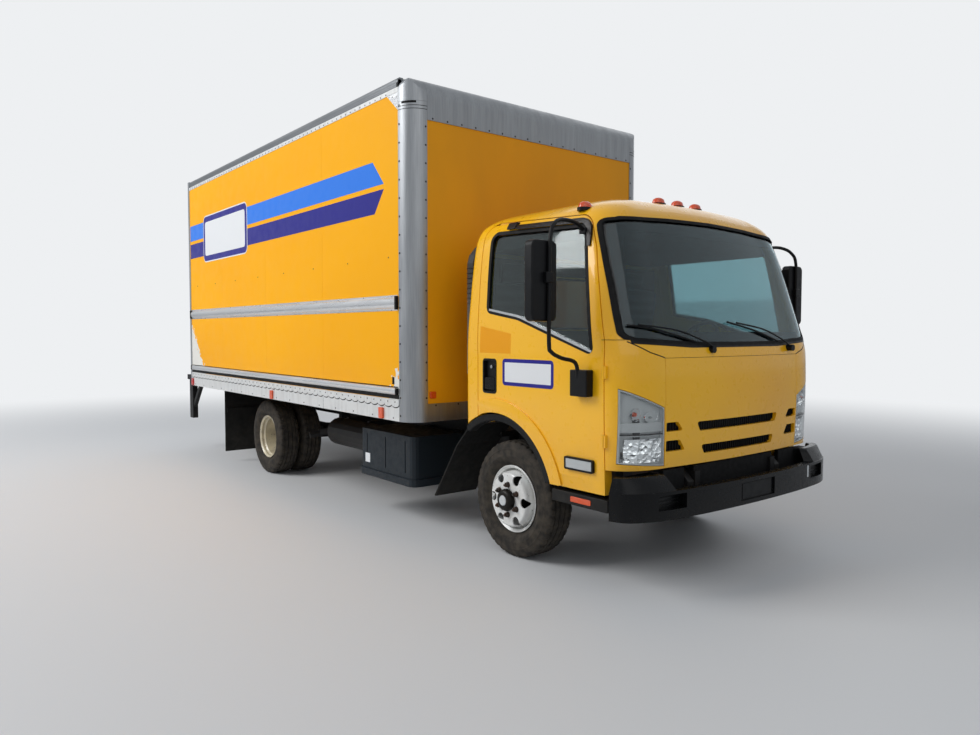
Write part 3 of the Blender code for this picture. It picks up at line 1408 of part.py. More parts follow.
STEERING_CENTRE = (0.415, 0.43, 1.356)
STEERING_RAKE = 32.5  # degrees of the column above level
STEERING_HUB = (0.012, 0.014)  # depth below and above the rim's plane
COLUMN_LENGTH = 0.29
COLUMN_RADIUS = 0.028


def steering_place():
    """The steering wheel's centre, and the direction of its column towards the driver."""
    rake = math.radians(STEERING_RAKE)
    return Vector(STEERING_CENTRE), Vector((-math.cos(rake), 0, math.sin(rake)))


def dashboard():
    """Dash panel under the windscreen with an instrument hood and the steering column."""
    half = CAB_LEVELS[3][2] - CAB_WALL - 0.012
    section = [(0.62, 1.13), (0.60, 1.27), (0.66, 1.34), (0.86, 1.352), (0.93, 1.34), (0.93, 1.06), (0.74, 1.06)]
    dash = prism(section, (-0.62, 0.62), "Y")
    wings = prism([(0.64, 1.14), (0.62, 1.26), (0.68, 1.33), (0.80, 1.335), (0.80, 1.10)], (-half + 0.02, half - 0.02), "Y")
    hood = prism([(0.56, 1.28), (0.66, 1.40), (0.80, 1.36), (0.80, 1.30)], (0.24, 0.62), "Y")
    support = block((0.80, 1.005), (-0.30, 0.30), (CAB_FLOOR_TOP + SEAT_GAP, 1.10))
    wheel_centre, direction = steering_place()
    column_top = wheel_centre - direction * (STEERING_HUB[0] + SEAT_GAP)
    column = pipe([tuple(wheel_centre - direction * COLUMN_LENGTH), tuple(column_top)], COLUMN_RADIUS)
    return fuse(dash, wings, hood, support, column)


def steering_wheel():
    """Rim, three spokes and hub at the end of the column."""
    centre, axis = steering_place()
    turn = Vector((0, 0, 1)).rotation_difference(axis).to_matrix().to_4x4()
    profile = [
        (0.205 + 0.013 * math.cos(math.radians(60 * n)), 0.013 * math.sin(math.radians(60 * n)))
        for n in range(6)
    ]
    wheel = turned(profile, (0, 0, 0), "Z", steps=16)
    hub = rod(0.045, (0, 0, 0), (-STEERING_HUB[0], STEERING_HUB[1]), "Z", 14)
    fuse(wheel, hub)
    for angle in (90, 210, 330):
        x, y = math.cos(math.radians(angle)), math.sin(math.radians(angle))
        fuse(wheel, pipe([(0.02 * x, 0.02 * y, 0), (0.204 * x, 0.204 * y, 0)], 0.010))
    wheel.data.transform(Matrix.Translation(centre) @ turn)
    return wheel


def add_cab(truck):
    truck.add("cab_shell", cab_shell(), "yellow_paint", "cab")
    truck.add("cab_floor", cab_floor(), "black_plastic", "cab")
    truck.add("front_panel", front_panel(), "yellow_paint", "cab")
    truck.add("windscreen", pane(screen_outline(), (0.45, 1.4), "X"), "glass", "cab")
    truck.add("rear_window", rear_window(), "glass", "cab")
    truck.add("seat_driver", seat(0.62, 0.50), "seat_fabric", "cab")
    truck.add("seat_passengers", seat(-0.62, 0.50), "seat_fabric", "cab")
    truck.add("dashboard", dashboard(), "black_plastic", "cab")
    truck.add("steering_wheel", steering_wheel(), "black_plastic", "cab")
    for name, side in SIDES:
        truck.add(f"headlamp_{name}", headlamp(side), "lamp", "cab")
        truck.add(f"door_{name}", door(side), "yellow_paint", f"door_{name}")
        glass = pane(window_outline(), side_span(side), "Y")
        truck.add(f"door_glass_{name}", glass, "glass", f"door_{name}")
        truck.add(f"mirror_{name}", mirror(side), "black_plastic", f"door_{name}")


def build():
    for old in list(bpy.data.objects):
        bpy.data.objects.remove(old)
    truck = Truck()
    add_wheels(truck)
    add_axles(truck)
    add_chassis(truck)
    add_van_body(truck)
    add_cab(truck)


build()
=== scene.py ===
"""Looks of a low-cab-forward box truck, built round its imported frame.

Metres, +Z up, +X forwards. Shapes are drawn from the middle of the front axle on the ground, as on the
maker's drawings, and finished() shifts each piece to the frame's own origin.
"""

import json
import math

import bmesh
import bpy
from mathutils import Matrix, Vector
from mathutils.bvhtree import BVHTree


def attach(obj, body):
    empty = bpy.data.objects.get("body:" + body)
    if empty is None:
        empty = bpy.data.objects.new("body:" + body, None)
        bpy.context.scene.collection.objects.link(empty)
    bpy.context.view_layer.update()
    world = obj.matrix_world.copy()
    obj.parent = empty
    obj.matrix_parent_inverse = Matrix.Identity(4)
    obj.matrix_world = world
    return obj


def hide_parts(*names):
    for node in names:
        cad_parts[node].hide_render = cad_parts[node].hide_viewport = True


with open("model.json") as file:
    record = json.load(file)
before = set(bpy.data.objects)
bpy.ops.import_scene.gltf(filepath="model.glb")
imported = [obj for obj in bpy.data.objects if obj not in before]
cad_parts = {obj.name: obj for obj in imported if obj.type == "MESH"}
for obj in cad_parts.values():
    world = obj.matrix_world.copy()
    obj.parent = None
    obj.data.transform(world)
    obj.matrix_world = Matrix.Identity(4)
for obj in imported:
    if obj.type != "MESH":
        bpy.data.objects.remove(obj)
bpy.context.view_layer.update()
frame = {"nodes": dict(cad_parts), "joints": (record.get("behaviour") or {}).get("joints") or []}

JOINTS = {joint["name"]: joint for joint in frame["joints"]}
AXLE_X = JOINTS["steer_left"]["pos_m"][0]
SIDES = (("left", 1), ("right", -1))

# Running gear
WHEEL_RADIUS = JOINTS["steer_left"]["pos_m"][2]
FRONT_WHEEL_Y = JOINTS["front_wheel_left_spin"]["pos_m"][1]
TWIN_MIDDLE_Y = JOINTS["rear_wheels_left_spin"]["pos_m"][1]
REAR_AXLE_X = JOINTS["rear_wheels_left_spin"]["pos_m"][0] - AXLE_X
TYRE_WIDTH = 0.218
RIM_SEAT_RADIUS = 0.2055
RIM_FLANGE_RADIUS = 0.2185
RIM_HALF_WIDTH = 0.084
DISC_OFFSET = 0.125
STUD_COUNT = 6
HAND_HOLE_COUNT = 6
HAND_HOLE_RING = 0.150
HAND_HOLE_RADIUS = 0.031
STUD_CIRCLE = 0.0975
FRONT_BORE = 0.066
REAR_BORE = 0.0735
# Turned parts: radius and distance along the axle, outwards on the left
FRONT_HUB = (
    (0.034, -0.040), (0.150, -0.040), (0.150, 0.008), (0.095, 0.02), (0.084, 0.118), (0.065, 0.1245),
    (0.065, 0.1335),
    (0.072, 0.1340), (0.071, 0.150), (0.065, 0.163), (0.053, 0.171), (0.034, 0.172),
)
HUB_CAP = ((0.002, 0.176), (0.030, 0.175), (0.034, 0.170), (0.034, 0.16), (0.002, 0.16))
REAR_DRUM = (
    (0.047, -0.205), (0.150, -0.205), (0.150, -0.072), (0.100, -0.056), (0.0725, -0.008), (0.0725, 0.055),
    (0.066, 0.066), (0.062, 0.084), (0.047, 0.0845),
)
AXLE_FLANGE = ((0.002, 0.094), (0.040, 0.094), (0.056, 0.0855), (0.002, 0.0855))

# Van body
BOX_FRONT_X = -0.76
BOX_REAR_X = -5.697
BOX_HALF_WIDTH = 1.218
BOX_BOTTOM = 0.817
BOX_TOP = 3.253
BOX_WALL = 0.045
CORNER_RADIUS = 0.146
SIDE_FRONT_X = BOX_FRONT_X - CORNER_RADIUS
NOSE_CAP_DEPTH = 0.303
NOSE_SILL_DEPTH = 0.130
REAR_FRAME_DEPTH = 0.05
SHEET_FACE = BOX_HALF_WIDTH - 0.004
SHEET_INNER = BOX_HALF_WIDTH - BOX_WALL
SHEET_JOINTS = (-4.56, -3.35, -2.12)
SHEET_GAP = 0.0015
APRON_TOP = 0.976
APRON_STEP = 0.917
LOW_RAIL = (0.983, 1.060)
MID_RAIL = (1.620, 1.720)
TOP_RAIL_LOW = 3.150
RAIL_PROUD = 0.020

MARKER_DEPTH = 0.016

# Livery on the side sheets: x and z ranges
LIVERY_REAR_X = -5.635
LIGHT_BAND_Z = (2.54, 2.72)
LIGHT_BAND_TIP_X = (-1.11, -1.27)
DARK_BAND_Z = (2.335, 2.503)
DARK_BAND_TIP_X = (-1.245, -1.11)
SIGN_X = (-5.145, -3.81)
SIGN_Z = (2.27, 2.77)
SIGN_BORDER = (0.052, 0.060)
FILM = 0.0006

# Cab, as in its solids
CAB_REAR_X = -0.39
CAB_WALL = 0.045
CAB_FLOOR_TOP = 0.98
FOOTWELL_TOP = 0.80
CAB_FRONT_EDGE = 0.70
PANEL_HALF_WIDTH = 0.688
COWL_SEAM = 1.315
ARCH_X = -0.08
ARCH_Z = 0.40
ARCH_RADIUS = 0.535
SHUT_GAP = 0.006
DOOR_HINGE_X = 0.866
DOOR_HINGE_Y = 1.006
DOOR_REAR_X = -0.262
DOOR_SILL = 0.552
DOOR_TOP = 2.135
DOOR_INNER_Y = 0.865
AHEAD = 1.3  # past the cab's front, for cutters
LAMP_REAR_X = 0.885
LAMP_OUTLINE = ((0.692, 0.715), (0.966, 0.740), (0.966, 1.150), (0.700, 1.040))
# Share of the lamp's radius, or radius, and distance forwards
BOWL_PROFILE = (
    (1.0, 0.0), (0.93, -0.014), (0.70, -0.024), (0.30, -0.030), (0.29, -0.033), (0.72, -0.027),
    (0.96, -0.016),
    (1.03, 0.0),
)
BULB_PROFILE = ((0.002, 0.0), (0.010, -0.004), (0.013, -0.014), (0.012, -0.026), (0.002, -0.028))
# Radius and height above the roof
LAMP_DOME = ((0.036, -0.012), (0.036, 0.006), (0.031, 0.026), (0.020, 0.036), (0.003, 0.040), (0.003, -0.012))
LAMP_SEAT = ((0.003, -0.016), (0.041, -0.016), (0.041, 0.003), (0.003, 0.003))
HINGE_Z = (0.86, 1.24)
TILT_ARM = (
    (0.985, 0.532), (1.048, 0.532), (1.048, 0.600), (0.978, 0.670), (0.972, 0.780), (0.890, 0.780),
    (0.890, 0.680),
)
SEAT_Y = 0.62
CUSHION_STEPS = 24
WINDOW_OUTLINE = ((0.781, 1.330), (0.652, 2.083), (-0.222, 2.118), (-0.190, 1.590), (0.123, 1.540))
WINDOW_CORNERS = (0.03, 0.06, 0.06, 0.05, 0.25)
REAR_WINDOW_Y = 0.55
REAR_WINDOW_Z = (1.48, 1.86)

# Bumper
BUMPER_FRONT_X = 1.20
BUMPER_LOW = 0.445
BUMPER_TOP = 0.600
BUMPER_END_TOP = 0.678
BUMPER_THICKNESS = 0.055

# Camera, from the photograph
PHOTO_SIZE = (980, 735)
CAMERA_POINT = (3.663, -4.0359, 1.4595)
CAMERA_YAW = 141.378
CAMERA_PITCH = -2.704
CAMERA_ROLL = -0.033
FOCAL_PIXELS = 745.852
SENSOR_WIDTH = 36.0

BACKDROP_COLOUR = "#EEF0F2"
FLOOR_COLOUR = "#D8D9DA"
FLOOR_FADE = (5.5, 13.0)  # metres from the truck's middle
# World light by the kind of ray: ray, colour, strength
WORLD_LIGHT = (
    (None, "#E6ECF4", 0.40), ("Is Glossy Ray", "#E9EDF2",
                              0.62), ("Is Transmission Ray", BACKDROP_COLOUR, 1.0),
    ("Is Camera Ray", BACKDROP_COLOUR, 1.0),
)
# Area lamps: name, place, width in metres, watts
STUDIO_LAMPS = (
    ("key", (-3.5, -9.5, 8.5), 7.0, 980.0), ("fill", (8.5, -3.0, 6.0), 7.0, 90.0),
    ("back", (-4.0, 9.0, 7.0), 11.0, 210.0),
)
LAMP_TARGET = (0, 0, 1.4)


def linear(hex_colour):
    """The linear RGBA of an sRGB hex colour."""
    channels = [int(hex_colour[i : i + 2], 16) / 255 for i in (1, 3, 5)]
    return [c / 12.92 if c <= 0.04045 else ((c + 0.055) / 1.055) ** 2.4 for c in channels] + [1.0]


# Materials


class Finish:
    """A material as it is built up: its nodes, its shader and the object's own coordinates in metres."""

    def __init__(self, name, colour, roughness, metallic=0.0, **sockets):
        self.material = bpy.data.materials.new(name)
        self.material.use_nodes = True
        self.tree = self.material.node_tree
        self.shader = self.tree.nodes["Principled BSDF"]
        self.material.diffuse_color = linear(colour)
        self.shader.inputs["Base Color"].default_value = linear(colour)
        self.shader.inputs["Roughness"].default_value = roughness
        self.shader.inputs["Metallic"].default_value = metallic
        for key, value in sockets.items():
            self.shader.inputs[key.replace("_", " ").title().replace("Ior", "IOR")].default_value = value
        self.place = self.add("ShaderNodeTexCoord").outputs["Object"]

    def add(self, kind, links=None, **settings):
        """Adds a node with its settings; each link is an input with a value or another node's output."""
        node = self.tree.nodes.new(kind)
        for key, value in settings.items():
            setattr(node, key, value)
        for key, value in (links or {}).items():
            if isinstance(value, bpy.types.NodeSocket):
                self.tree.links.new(value, node.inputs[key])
            else:
                node.inputs[key].default_value = value
        return node

    def patches(self, size, low=0.0, high=1.0, detail=3.0, stretch=(1, 1, 1), edge=(0.35, 0.65)):
        """An uneven value over the surface: patches about size metres wide, from low to high."""
        scale = [way / size for way in stretch]
        mapping = self.add("ShaderNodeMapping", {"Vector": self.place, "Scale": scale})
        noise = self.add("ShaderNodeTexNoise", {"Vector": mapping.outputs[0], "Scale": 1.0, "Detail": detail})
        spread = {"Value": noise.outputs["Fac"], "From Min": edge[0], "From Max": edge[1]}
        spread.update({"To Min": low, "To Max": high})
        return self.add("ShaderNodeMapRange", spread).outputs[0]

    def blend(self, factor, first, second):
        """A colour between two, by a factor."""
        mix = self.add("ShaderNodeMix", data_type="RGBA")
        self.tree.links.new(factor, mix.inputs["Factor"])
        for socket, value in ((mix.inputs[6], first), (mix.inputs[7], second)):
            if isinstance(value, bpy.types.NodeSocket):
                self.tree.links.new(value, socket)
            else:
                socket.default_value = linear(value)
        return mix.outputs[2]

    def sums(self, operation, *values, clamp=False):
        """Arithmetic on values or outputs."""
        return self.add("ShaderNodeMath", dict(enumerate(values)), operation=operation,
                        use_clamp=clamp).outputs[0]

    def axes(self):
        """The place's X, Y and Z outputs."""
        return self.add("ShaderNodeSeparateXYZ", {"Vector": self.place}).outputs

    def relief(self, height, depth):
        """Raises the surface by a height output, up to depth metres."""
        bump = self.add("ShaderNodeBump", {"Height": height, "Distance": depth, "Strength": 1.0})
        self.tree.links.new(bump.outputs[0], self.shader.inputs["Normal"])

    def grain(self, depth, size, **spread):
        """Relief in patches about size metres wide, up to depth metres."""
        self.relief(self.patches(size, **spread), depth)

    def drive(self, socket, output):
        self.tree.links.new(output, self.shader.inputs[socket])

    def tint(self, factor, first, second):
        """Colours the surface between two colours, by a factor."""
        self.drive("Base Color", self.blend(factor, first, second))

    def rough(self, size, low, high, **spread):
        """Roughness in patches about size metres wide, from low to high."""
        self.drive("Roughness", self.patches(size, low, high, **spread))


def dusted(finish, dust_colour, top, reach, most):
    """Road dust that thins out upwards: gone at top, and full from reach metres under it."""
    height = finish.axes()["Z"]
    fade = finish.add("ShaderNodeMapRange", {0: height, 1: top, 2: top - reach, 3: 0.0, 4: most})
    speckle = finish.patches(0.09, 0.35, 1.0, detail=6.0)
    return finish.sums("MULTIPLY", fade.outputs[0], speckle, clamp=True), dust_colour


def cab_enamel():
    """Two-pack acrylic enamel over primed steel: a deep wet gloss with a fine orange peel."""
    finish = Finish("cab_enamel_yellow", "#FFBE12", 0.34, coat_weight=0.7, coat_roughness=0.08,
                    specular_ior_level=0.3)
    faded = finish.blend(finish.patches(0.9, 0.0, 1.0), "#FFC015", "#FAB612")
    amount, dust = dusted(finish, "#CFA45C", 1.10, 0.7, 0.20)
    finish.tint(amount, faded, dust)
    finish.rough(0.05, 0.26, 0.38)
    finish.grain(0.00006, 0.006, detail=1.0)
    return finish.material


def side_sheet_paint():
    """Coil-coated sheet: even satin yellow, scuffed through to white at its lower rear and front corners."""
    finish = Finish("coil_coated_sheet_yellow", "#FFB300", 0.45, coat_weight=0.04, coat_roughness=0.30,
                    specular_ior_level=0.15)
    faded = finish.blend(finish.patches(1.4, 0.0, 1.0, stretch=(0.5, 1, 1)), "#FFB400", "#FAAC04")
    amount, dust = dusted(finish, "#D8A85C", 1.30, 0.45, 0.18)
    dirty = finish.blend(amount, faded, dust)
    axes = finish.axes()
    ragged = finish.patches(0.055, -0.10, 0.10, detail=5.0, edge=(0.25, 0.75))
    rear = finish.sums("MULTIPLY_ADD", axes["X"], 1.0, -(AXLE_X - 5.22))
    slope = finish.sums("MULTIPLY_ADD", axes["Z"], 0.90, -0.954)
    rear_edge = finish.sums("ADD", finish.sums("ADD", rear, slope), ragged)
    rear_scuff = finish.sums("LESS_THAN", rear_edge, 0.0)
    front = finish.sums("MULTIPLY_ADD", axes["X"], -1.0, AXLE_X - 1.02)
    front_slope = finish.sums("MULTIPLY_ADD", axes["Z"], 0.75, -0.80)
    front_edge = finish.sums("ADD", finish.sums("ADD", front, front_slope), ragged)
    front_scuff = finish.sums("LESS_THAN", front_edge, 0.0)
    scuff = finish.sums("MAXIMUM", rear_scuff, front_scuff)
    finish.tint(scuff, dirty, "#E4E2DC")
    finish.rough(0.12, 0.40, 0.52)
    finish.grain(0.0012, 0.35, detail=1.0)
    return finish.material


def shaded_front_wall_paint():
    """The same coil-coated sheet on the front wall, its yellow darkened as painted shade, with patches greyed
    further by the road film behind the cab.
    """
    # Painted shade: these colours are a darker copy of the side sheets' yellow; the darker patches over it
    # are road film.
    finish = Finish("coil_coated_sheet_front_shaded", "#F5A804", 0.50, coat_weight=0.10, coat_roughness=0.3,
                    specular_ior_level=0.25)
    film = finish.patches(0.5, 0.0, 0.35, stretch=(1, 1, 0.35), detail=5.0)
    finish.tint(film, "#F5A804", "#D6931A")
    finish.grain(0.001, 0.30, detail=1.0)
    return finish.material


def vinyl_film(name, colour):
    """Cast vinyl film on the sheets: flat colour with a soft gloss and a trace of weathering."""
    finish = Finish(name, colour, 0.40, coat_weight=0.08, coat_roughness=0.25, specular_ior_level=0.25)
    finish.rough(0.10, 0.28, 0.42)
    return finish.material


def mill_aluminium(name, colour, grain, roughness, bloom=0.35):
    """Extruded or rolled aluminium left to weather: a dull silver streaked along its drawing lines."""
    finish = Finish(name, colour, roughness, metallic=0.9)
    wide = tuple(max(way, 0.10) for way in grain)
    tone = finish.blend(finish.patches(0.05, 0.0, bloom, detail=4.0, stretch=wide), colour, "#85888B")
    streaks = finish.patches(0.006, 0.0, bloom * 0.7, detail=2.0, stretch=grain)
    finish.tint(streaks, tone, "#77797C")
    finish.rough(0.06, roughness - 0.04, roughness + 0.08, detail=3.0, stretch=wide)
    return finish.material


def apron_aluminium():
    """Side rail of clear-anodised aluminium, chalky white, with road grime in runs."""
    finish = Finish("anodised_apron", "#DCDDDC", 0.42, metallic=0.3)
    runs = finish.patches(0.03, 0.0, 0.30, detail=5.0, stretch=(1, 1, 0.12), edge=(0.45, 0.8))
    finish.tint(runs, "#DFE0DF", "#96938D")
    finish.rough(0.06, 0.35, 0.55)
    return finish.material


def moulded_black(name, colour, roughness, grain, dust_top=0.0):
    """Injection-moulded black polypropylene: a fine spark-eroded grain, greyed by dust near the road."""
    finish = Finish(name, colour, roughness, specular_ior_level=0.2)
    if dust_top:
        amount, dust = dusted(finish, "#6F6A61", dust_top, 0.9, 0.20)
        finish.tint(amount, colour, dust)
    finish.rough(0.04, roughness - 0.06, roughness + 0.10, detail=4.0)
    finish.grain(grain * 0.08, grain, detail=1.0)
    return finish.material


def chassis_enamel():
    """Black chassis enamel sprayed over scale, matt with brown road dust that thickens towards the ground."""
    finish = Finish("chassis_enamel_black", "#141517", 0.5, specular_ior_level=0.25)
    amount, dust = dusted(finish, "#4A433B", 0.9, 0.9, 0.40)
    finish.tint(amount, "#141517", dust)
    finish.grain(0.0005, 0.012, detail=3.0)
    return finish.material


def rusty_casting():
    """Sand-cast iron: dark and coarse, with rust bloom."""
    finish = Finish("sand_cast_iron", "#3A3634", 0.7, metallic=0.4)
    rust = finish.patches(0.05, 0.0, 0.8, detail=6.0)
    finish.tint(rust, "#34322F", "#5A4030")
    finish.grain(0.0004, 0.004, detail=2.0)
    return finish.material


def wheel_enamel(name, colour, worn):
    """Stoved wheel enamel: near white, chipped to brown primer and filmed with brake dust."""
    finish = Finish(name, colour, 0.3, coat_weight=0.5, coat_roughness=0.15)
    chips = finish.patches(0.018, 0.0, 1.0, detail=6.0, edge=(0.64, 0.69))
    film = finish.patches(0.10, 0.0, worn, detail=5.0)
    filmed = finish.blend(film, colour, "#8F8371")
    finish.tint(finish.sums("MULTIPLY", chips, 0.8), filmed, "#3A302A")
    finish.rough(0.05, 0.22, 0.5)
    return finish.material


def tyre_rubber():
    """Carbon-black tyre rubber, greyed by dust and weather, browner on its tread."""
    finish = Finish("tyre_rubber_worn", "#262422", 0.82, specular_ior_level=0.3)
    grey = finish.patches(0.05, 0.1, 0.75, detail=6.0)
    finish.tint(grey, "#211F1D", "#4A433A")
    finish.grain(0.0003, 0.0035, detail=2.0)
    return finish.material


def laminated_glass(name, colour, roughness=0.02):
    """Tinted laminated glass: clear through, with a green-blue body."""
    finish = Finish(name, colour, roughness, transmission_weight=1.0, specular_ior_level=0.3)
    finish.rough(0.3, roughness, roughness + 0.03, detail=4.0)
    return finish.material


def lens(name, colour, clear):
    """Moulded acrylic lens, coloured right through, ribbed on its inside."""
    finish = Finish(name, colour, 0.08, transmission_weight=clear, ior=1.49, coat_weight=0.6)
    finish.grain(0.0004, 0.008, detail=0.0, stretch=(1, 1, 3))
    return finish.material


def satin_silver(name, colour):
    """Silver lacquer on moulded plastic, satin, as in a headlamp's surround."""
    finish = Finish(name, colour, 0.38, metallic=0.15)
    finish.rough(0.04, 0.32, 0.44)
    return finish.material


def intake_plastic():
    """Black polyethylene duct, chalked to grey on its lower half by sun and road film."""
    finish = Finish("chalked_polyethylene", "#343130", 0.6)
    chalk = finish.add("ShaderNodeMapRange",
                       {0: finish.axes()["Z"], 1: 1.85, 2: 1.25, 3: 0.0, 4: 0.8}).outputs[0]
    finish.tint(chalk, "#2C2A29", "#7D7870")
    finish.grain(0.0002, 0.003, detail=1.0)
    return finish.material


def chromed(name, colour, roughness, dents=0.0):
    """Vacuum-metallised or chromed surface, mirror bright; a lamp bowl is faceted by its flutes."""
    finish = Finish(name, colour, roughness, metallic=1.0)
    if dents:
        cells = finish.add("ShaderNodeTexVoronoi", {"Vector": finish.place, "Scale": 34.0}, feature="F1")
        finish.relief(cells.outputs["Distance"], dents)
    else:
        finish.rough(0.03, roughness, roughness + 0.1)
    return finish.material


def woven_cloth():
    """Woven polyester seat cloth: charcoal with a crossed thread drawn at 4 mm so that it shows."""
    finish = Finish("woven_seat_cloth", "#3D4046", 0.92, sheen_weight=0.4)
    warp = finish.add("ShaderNodeTexWave", {"Vector": finish.place, "Scale": 40.0}, bands_direction="Y")
    weft = finish.add("ShaderNodeTexWave", {"Vector": finish.place, "Scale": 40.0}, bands_direction="X")
    thread = finish.sums("MULTIPLY", warp.outputs["Fac"], weft.outputs["Fac"])
    finish.tint(thread, "#33363B", "#5A5E66")
    finish.relief(thread, 0.0008)
    return finish.material


def roof_fibreglass():
    """Translucent glass-fibre roof sheet, milky with strands in it."""
    finish = Finish("glass_fibre_roof", "#DADBD6", 0.45, subsurface_weight=0.05)
    finish.tint(finish.patches(0.02, 0, 1, stretch=(0.2, 1, 1)), "#DDDEDA", "#CFCEC6")
    return finish.material


def door_enamel():
    """White baked enamel on the roll-up door's slats, with handling grime along its foot."""
    finish = Finish("baked_enamel_white", "#DCDCD8", 0.38, coat_weight=0.3)
    amount, dust = dusted(finish, "#8C867C", 1.7, 0.7, 0.45)
    finish.tint(amount, "#DCDCD8", dust)
    return finish.material


def hardwood_floor():
    """Laminated hardwood deck: long staves 40 mm wide under varnish."""
    finish = Finish("laminated_hardwood", "#A5824F", 0.5)
    staves = finish.add("ShaderNodeTexWave", {"Vector": finish.place, "Scale": 8.0}, bands_direction="Y")
    grain = finish.patches(0.03, 0, 1, detail=6.0, stretch=(0.1, 1, 1))
    tone = finish.blend(grain, "#A98756", "#86643A")
    finish.tint(finish.sums("MULTIPLY", staves.outputs["Fac"], 0.3), tone, "#6F5230")
    return finish.material


# The looks under the slot of the record that each belongs to
SLOTS = {
    "yellow_paint": {
        "cab_paint": cab_enamel(),
        "side_sheet": side_sheet_paint(),
        "shaded_front_sheet": shaded_front_wall_paint(),
        "light_blue": vinyl_film("vinyl_light_blue", "#2A7CE8"),
        "dark_blue": vinyl_film("vinyl_dark_blue", "#211E86"),
        "sign_white": vinyl_film("vinyl_white", "#E6E8EA"),
        "patch_yellow": vinyl_film("vinyl_patch_yellow", "#EFA008"),
    },
    "aluminium": {
        "nose_aluminium": mill_aluminium("rolled_aluminium_nose", "#A6A9AC", (1, 1, 0.03), 0.40),
        "rail_aluminium": mill_aluminium("extruded_aluminium_rail", "#ECEDEE", (0.01, 1, 1), 0.26,
                                         bloom=0.10),
        "rail_grey": mill_aluminium("weathered_roof_rail", "#8A8D90", (0.01, 1, 1), 0.36, bloom=0.15),
        "frame_aluminium": mill_aluminium("rear_frame_aluminium", "#B9BCBF", (1, 1, 0.03), 0.42),
        "apron": apron_aluminium(),
        "rivet": chromed("aluminium_rivet", "#A6A8A9", 0.35),
        # Painted shade: rivet heads coloured dark grey, standing in for the shade round bright aluminium
        # rivets.
        "shaded_rivet": moulded_black("rivet_painted_shade", "#3B3B3A", 0.5, 0.004),
        "bright_trim": chromed("bright_belt_trim", "#DADCDD", 0.16),
    },
    "black_plastic": {
        "black_grain": moulded_black("grained_polypropylene_black", "#101112", 0.5, 0.002, dust_top=0.9),
        "black_gloss": moulded_black("gloss_bumper_black", "#0A0B0D", 0.20, 0.002, dust_top=0.55),
        "black_trim": moulded_black("mirror_shell_black", "#0F1012", 0.36, 0.0015),
        # Partly painted shade: the interior trim's own dark grey is darkened further for the shade inside the
        # cab.
        "interior_trim_and_shade": moulded_black("interior_vinyl_grey_and_shade", "#2C2E31", 0.6, 0.003),
        "rubber_seal": moulded_black("extruded_rubber_seal", "#0B0B0C", 0.6, 0.004),
        "battery_cover": moulded_black("battery_cover_blue_grey", "#22292F", 0.42, 0.002),
        "visor": moulded_black("smoked_acrylic_visor", "#1B1513", 0.12, 0.004),
        "intake": intake_plastic(),
        "flap_rubber": moulded_black("mud_flap_rubber", "#161616", 0.75, 0.006, dust_top=0.8),
        "mesh_dark": moulded_black("grille_mesh_black", "#0E0F10", 0.6, 0.004),
    },
    "chassis_black": {
        "chassis": chassis_enamel(),
    },
    "cast_iron": {
        "casting": rusty_casting(),
        "hub": moulded_black("hub_grease_black", "#15130F", 0.35, 0.003),
    },
    "steel_white": {
        "wheel_front": wheel_enamel("wheel_enamel_white", "#E9EAE8", 0.25),
        "wheel_rear": wheel_enamel("wheel_enamel_cream", "#D8CDB0", 0.55),
    },
    "tyre_rubber": {
        "tyre": tyre_rubber(),
    },
    "glass": {
        # Partly painted shade: the windscreen's green-blue tint is darkened for the shaded cab behind it and
        # the dark reflections in it.
        "windscreen": laminated_glass("laminated_windscreen_shaded", "#82A6B0"),
        "door_glass": laminated_glass("toughened_door_glass", "#A4BAB9"),
        "mirror_glass": chromed("silvered_mirror", "#DDE3E6", 0.02),
    },
    "lamp": {
        "lamp_cover": laminated_glass("clear_polycarbonate", "#F4F6F6", 0.03),
        "lamp_bowl": chromed("metallised_bowl", "#F3F5F7", 0.12, dents=0.010),
        "lamp_shell": satin_silver("lacquered_lamp_surround", "#CCD0D2"),
        "lamp_grey": lens("clear_ribbed_acrylic", "#C3C8CA", 0.15),
        "amber": lens("amber_acrylic", "#F2581C", 0.2),
        "red": lens("red_acrylic", "#E01810", 0.35),
    },
    "seat_fabric": {
        "cloth": woven_cloth(),
    },
    "white_panel": {
        "roof": roof_fibreglass(),
        "door_white": door_enamel(),
    },
    "plywood": {
        "floor_wood": hardwood_floor(),
    },
}
LOOKS = {look: material for looks in SLOTS.values() for look, material in looks.items()}


# Shape tools


def as_object(bm, weld=1e-6):
    """A working object from a bmesh, faces out."""
    bmesh.ops.remove_doubles(bm, verts=bm.verts, dist=weld)
    bmesh.ops.recalc_face_normals(bm, faces=bm.faces)
    mesh = bpy.data.meshes.new("work")
    bm.to_mesh(mesh)
    bm.free()
    work = bpy.data.objects.new("work", mesh)
    bpy.context.collection.objects.link(work)
    return work


def block(x, y, z):
    """A box between two values on each axis."""
    bm = bmesh.new()
    bmesh.ops.create_cube(bm, size=1.0)
    for vert in bm.verts:
        vert.co = [low + (c + 0.5) * (high - low) for c, (low, high) in zip(vert.co, (x, y, z))]
    return as_object(bm)


def mirrored(x, y, z, side):
    """A block whose Y range is given for the left side."""
    return block(x, tuple(sorted((y[0] * side, y[1] * side))), z)


PLACES = {
    "X": lambda a, b, t: (t, a, b),
    "Y": lambda a, b, t: (a, t, b),
    "Z": lambda a, b, t: (a, b, t),
}


def skin_rings(bm, rings, closed=False):
    """Faces between rings of vertices, with the ends capped or joined to each other."""
    pairs = list(zip(rings, rings[1:])) + ([(rings[-1], rings[0])] if closed else [])
    for first, second in pairs:
        for i in range(len(first)):
            bm.faces.new((first[i], first[i - 1], second[i - 1], second[i]))
    if not closed:
        bm.faces.new(rings[0])
        bm.faces.new(rings[-1][::-1])


